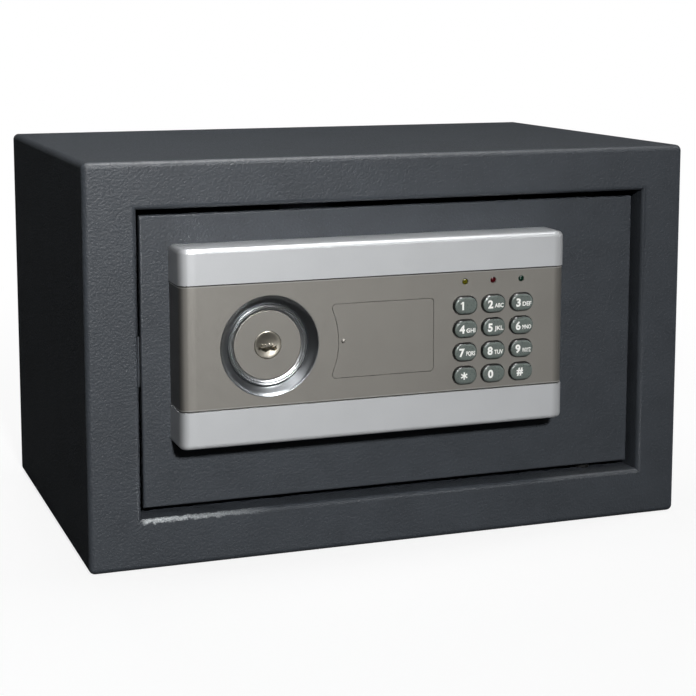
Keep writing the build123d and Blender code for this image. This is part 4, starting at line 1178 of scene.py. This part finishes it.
@dataclass
class EmergencyLock(Dresser):
    """The chromed ring, grey disc, barrel, and the key plug with its wavy keyway.

    Centre is the lock's axis as x and z in metres. All other lengths are millimetres.
    """

    centre: tuple[float, float] = (0.0, 0.0)
    segments: int = 128
    inner: float = 16.65
    bead_outer: float = 19.35
    outer: float = 22.4
    wall_depth: float = 1.9
    plug_radius: float = 6.6
    plug_edge: float = 0.3
    plug_end: float = 2.5
    tail: float = 6.0
    dish_depth: float = 0.8
    dish_share: float = 0.86
    way_length: float = 8.8
    way_height: float = 2.0
    way_depth: float = 7.0
    way_drop: float = 2.0
    way_wave: float = 0.45
    way_rise: float = 3.2
    way_cuts: int = 11
    pin_radius: float = 0.5
    pin_pitch: float = 1.75
    pin_count: int = 4
    pin_behind: float = 0.4
    pin_shank: float = 0.5
    pin_crown: float = 0.45
    pin_length: float = 0.97
    pin_stagger: float = 0.12

    def build(self, finishes: Finishes) -> None:
        """Dress the lock, and make its ring, plug and pins.

        Args:
            finishes: The safe's finishes.
        """
        self.dress(finishes.warm_grey, "lock_disc")
        self.dress(finishes.nickel, "lock_barrel")
        low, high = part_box("lock_bezel")
        self.centre = ((low.x + high.x) / 2, (low.z + high.z) / 2)
        self.make_ring(finishes, high.y)
        self.make_plug(finishes)

    def make_ring(self, finishes: Finishes, back: float) -> None:
        """Turn the satin funnel with its rim, and the polished double bead inside it.

        Each shape is radius and depth behind the plate's front, in millimetres.

        Args:
            finishes: The safe's finishes.
            back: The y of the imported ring's back.
        """
        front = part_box("fascia_plate")[0].y
        rim = [(self.outer, self.wall_depth), (24.15, 0.02), (23.85, 0.02), (23.7, 0.12), (23.55, 0.4)]
        slope = [(22.3, 1.4), (21.4, 1.95), (20.4, 2.65), (19.5, 3.35), (self.bead_outer, 3.6)]
        high_bead = [(self.bead_outer, 3.6), (19.2, 3.1), (19.0, 2.75), (18.75, 2.62), (18.5, 2.75)]
        dip = [(18.3, 3.15), (18.15, 3.5), (18.0, 3.15)]
        low_bead = [(17.8, 2.95), (17.6, 3.0), (17.4, 3.3), (17.2, 3.55)]
        for name, finish, outer, shape in (
            ("lock_funnel", finishes.satin_chrome, self.outer, [*rim, *slope]),
            ("lock_bead", finishes.chrome, self.bead_outer, [*high_bead, *dip, *low_bead, (self.inner, 3.6)]),
        ):
            profile = [(outer * MM, back)]
            profile += [(radius * MM, front + depth * MM) for radius, depth in shape]
            profile += [(shape[-1][0] * MM, back), (outer * MM, back)]
            ring = turned(name, self.centre, profile, self.segments)
            finish_piece(ring, finish, 50)
            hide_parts("lock_bezel")
            settle(ring, Body.DOOR)

    def make_plug(self, finishes: Finishes) -> None:
        """Turn the plug with its dished face, cut the keyway, and add the tail and the pins.

        Args:
            finishes: The safe's finishes.
        """
        low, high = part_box("lock_plug")
        radius, edge, dish = self.plug_radius * MM, self.plug_edge * MM, self.dish_depth * MM
        end = high.y - self.plug_end * MM
        profile = [(radius, end), (radius, low.y + edge), (radius - edge, low.y)]
        profile.append((radius * self.dish_share, low.y))
        for share in (0.72, 0.55, 0.38, 0.2):
            profile.append((radius * share, low.y + dish * (1 - (share / self.dish_share) ** 2)))
        profile.append((0, low.y + dish))
        plug = turned("key_plug_face", self.centre, profile, 96, filled=True)
        cut(plug, self.keyway_cutter(low.y))
        middle = (self.centre[0], end + self.plug_end / 2 * MM, self.centre[1])
        bpy.ops.object.select_all(action="DESELECT")
        bpy.ops.mesh.primitive_cube_add(size=1, location=middle)
        tail = bpy.context.object
        tail.scale = (self.tail * MM, self.plug_end * MM, self.tail * MM)
        bpy.ops.object.transform_apply(location=True, rotation=True, scale=True)
        apply_modifier(tail, "BEVEL", width=0.4 * MM, segments=2)
        only(plug, tail)
        bpy.ops.object.join()
        finish_piece(plug, finishes.nickel, 35)
        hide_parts("lock_plug")
        settle(plug, Body.KEY_PLUG)
        self.make_pins(finishes, low.y)

    def keyway_cutter(self, front: float) -> bpy.types.Object:
        """Shape the keyway's cutter: a flat bar whose columns follow a wave.

        Args:
            front: The y of the plug's face.

        Returns:
            The cutter.
        """
        centre_z = self.centre[1] - self.way_drop * MM
        bpy.ops.object.select_all(action="DESELECT")
        bpy.ops.mesh.primitive_cube_add(size=1, location=(self.centre[0], front, centre_z))
        way = bpy.context.object
        way.scale = (self.way_length * MM, 2 * self.way_depth * MM, self.way_height * MM)
        bpy.ops.object.transform_apply(location=True, rotation=True, scale=True)
        bpy.ops.object.mode_set(mode="EDIT")
        bpy.ops.mesh.subdivide(number_cuts=self.way_cuts)
        bpy.ops.object.mode_set(mode="OBJECT")
        for vertex in way.data.vertices:
            along = (vertex.co.x - self.centre[0]) / (self.way_length * MM)
            rise = math.sin(along * 4 * math.pi) * self.way_wave + abs(along) ** 2 * self.way_rise
            vertex.co.z += rise * MM
        return way

    def make_pins(self, finishes: Finishes, front: float) -> None:
        """Turn one tumbler pin and set four of them along the keyway's upper edge.

        Args:
            finishes: The safe's finishes.
            front: The y of the plug's face.
        """
        radius = self.pin_radius * MM
        start = self.centre[0] - (self.pin_count - 1) / 2 * self.pin_pitch * MM
        z = self.centre[1] - (self.way_drop - self.way_height) * MM
        seat = front + (self.dish_depth + self.pin_behind) * MM
        profile = [(radius, seat), (radius, seat - self.pin_shank * MM)]
        for turn in (0.5, 1.0, 1.3):
            rise = self.pin_shank + self.pin_crown * math.sin(turn)
            profile.append((radius * math.cos(turn), seat - rise * MM))
        profile.append((0, seat - self.pin_length * MM))
        pin = turned("tumbler_pin", (start, z), profile, 20, filled=True)
        steps = range(self.pin_count)
        moves = [Vector((i * self.pin_pitch * MM, 0, self.pin_stagger * MM * (-1) ** i)) for i in steps]
        pins = copies(pin, moves, "tumbler_pins")
        finish_piece(pins, finishes.nickel, 50)
        settle(pins, Body.KEY_PLUG)


@dataclass
class Studio:
    """The floor, the lamps, the pale background and the camera. Its lengths are metres."""

    focal_pixels: float = 1685.4
    sensor: float = 36.0
    position: tuple[float, float, float] = (-0.2996, -0.8494, 0.2596)
    yaw: float = 0.3476
    pitch: float = 0.1357
    shift: float = -0.15
    floor_side: float = 8.0
    fade_start: float = 0.22
    fade_end: float = 0.75
    near_white: float = 0.84
    gloss_share: float = 0.02
    dim: Colour = (0.03, 0.032, 0.033, 1.0)

    def build(self) -> None:
        """Make the studio."""
        self.lay_floor()
        self.hang_lamp("key_lamp", (-0.230, -1.64, 0.79), (-0.18, -0.1, 0.2), 0.13, 3.45, 60.0)
        self.hang_lamp("top_lamp", (-0.15, -0.02, 0.95), (-0.16, 0.0, 0.19), 0.30, 0.55, 80.0)
        for name, place in (("right_lamp", (1.45, 0.0, 0.55)), ("back_lamp", (0.0, 1.6, 0.55))):
            self.hang_lamp(name, place, (0.0, 0.0, 0.1), 0.6, 20.0).visible_glossy = False
        for name, place, side, power in (
            ("left_reflector", (-0.9, -1.2, 1.7), 0.8, 6.0),
            ("top_reflector", (0.12, -0.30, 1.20), 0.35, 16.0),
        ):
            self.hang_lamp(name, place, (0.0, -0.1, 0.15), side, power).visible_diffuse = False
        self.fill_world()
        self.place_camera()

    def hang_lamp(
        self,
        name: str,
        place: tuple[float, float, float],
        target: tuple[float, float, float],
        side: float,
        power: float,
        spread: float = 180.0,
    ) -> bpy.types.Object:
        """Hang a square lamp.

        Args:
            name: The lamp's name.
            place: Where it hangs, in metres.
            target: What it looks at, in metres.
            side: The length of its sides, in metres.
            power: Its power in watts.
            spread: How wide it shines, in degrees.

        Returns:
            The lamp.
        """
        data = bpy.data.lights.new(name, "AREA")
        data.size = side
        data.energy = power
        data.spread = math.radians(spread)
        lamp = bpy.data.objects.new(name, data)
        bpy.context.scene.collection.objects.link(lamp)
        lamp.location = place
        lamp.rotation_euler = (Vector(target) - Vector(place)).to_track_quat("-Z", "Y").to_euler()
        return lamp

    def lay_floor(self) -> None:
        """Lay the pale floor, which takes the shadow near the safe and goes white further out."""
        bpy.ops.object.select_all(action="DESELECT")
        bpy.ops.mesh.primitive_plane_add(size=self.floor_side)
        floor = bpy.context.object
        floor.name = "studio_floor"
        material = bpy.data.materials.new("matt_white_paper")
        material.use_nodes = True
        tree = material.node_tree
        tree.nodes.clear()
        place = add_node(tree, "ShaderNodeTexCoord").outputs["Object"]
        distance = add_node(tree, "ShaderNodeVectorMath", {0: place}, operation="LENGTH").outputs["Value"]
        span = {0: distance, 1: self.fade_start, 2: self.fade_end, 3: self.near_white}
        fade = add_node(tree, "ShaderNodeMapRange", span).outputs[0]
        seen = add_node(tree, "ShaderNodeLightPath").outputs["Is Camera Ray"]
        tones = {0: seen, 6: linear("#2b2b2b"), 7: linear("#e6e6e6")}
        tone = add_node(tree, "ShaderNodeMix", tones, data_type="RGBA").outputs[2]
        paper = add_node(tree, "ShaderNodeBsdfDiffuse", {"Color": tone})
        share = add_node(tree, "ShaderNodeMath", {0: fade, 1: seen}, operation="MULTIPLY").outputs[0]
        white = add_node(tree, "ShaderNodeEmission", {"Color": (1, 1, 1, 1), "Strength": 1.0})
        mixed = add_node(tree, "ShaderNodeMixShader", {0: share, 1: paper.outputs[0], 2: white.outputs[0]})
        add_node(tree, "ShaderNodeOutputMaterial", {"Surface": mixed.outputs[0]})
        floor.data.materials.append(material)

    def fill_world(self) -> None:
        """Fill the room with dim light, white where the camera, gloss or glass looks at it."""
        world = bpy.data.worlds.new("studio")
        bpy.context.scene.world = world
        world.use_nodes = True
        tree = world.node_tree
        tree.nodes.clear()
        rays = add_node(tree, "ShaderNodeLightPath").outputs
        faint = {0: rays["Is Glossy Ray"], 1: self.gloss_share}
        gloss = add_node(tree, "ShaderNodeMath", faint, operation="MULTIPLY").outputs[0]
        through = {0: rays["Is Camera Ray"], 1: rays["Is Transmission Ray"]}
        seen = add_node(tree, "ShaderNodeMath", through, operation="MAXIMUM").outputs[0]
        share = add_node(tree, "ShaderNodeMath", {0: seen, 1: gloss}, operation="MAXIMUM").outputs[0]
        tones = {0: share, 6: self.dim, 7: (1.0, 1.0, 1.0, 1.0)}
        colour = add_node(tree, "ShaderNodeMix", tones, data_type="RGBA").outputs[2]
        back = add_node(tree, "ShaderNodeBackground", {"Color": colour, "Strength": 1.0}).outputs[0]
        add_node(tree, "ShaderNodeOutputWorld", {"Surface": back})

    def place_camera(self) -> None:
        """Set the camera at the photograph's angle."""
        data = bpy.data.cameras.new("camera")
        data.sensor_width = self.sensor
        data.lens = self.focal_pixels / IMAGE_SIDE * data.sensor_width
        data.shift_y = self.shift
        data.clip_start = 0.05
        data.clip_end = 50.0
        camera = bpy.data.objects.new("camera", data)
        bpy.context.scene.collection.objects.link(camera)
        camera.location = self.position
        camera.rotation_euler = (math.pi / 2 - self.pitch, 0, -self.yaw)
        bpy.context.scene.camera = camera


def main() -> None:
    """Load the frame, dress the safe and light it."""
    logging.basicConfig(level=logging.INFO, format="%(name)s: %(message)s")
    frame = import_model()
    cells, plate = (tuple(corner.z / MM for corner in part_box(name)) for name in ("batteries", "fascia_plate"))
    ends = tuple(corner.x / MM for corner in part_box("fascia_housing"))
    finishes = Finishes(cells, plate, ends)
    for assembly in (Cabinet, Door, Boltwork, PowerPack, Fascia, Keypad, EmergencyLock):
        log.info("building %s", assembly.__name__)
        assembly(frame["nodes"]).build(finishes)
    Studio().build()
    bpy.context.scene.view_settings.view_transform = "Standard"
    bpy.context.view_layer.update()


if __name__ == "__main__":
    main()
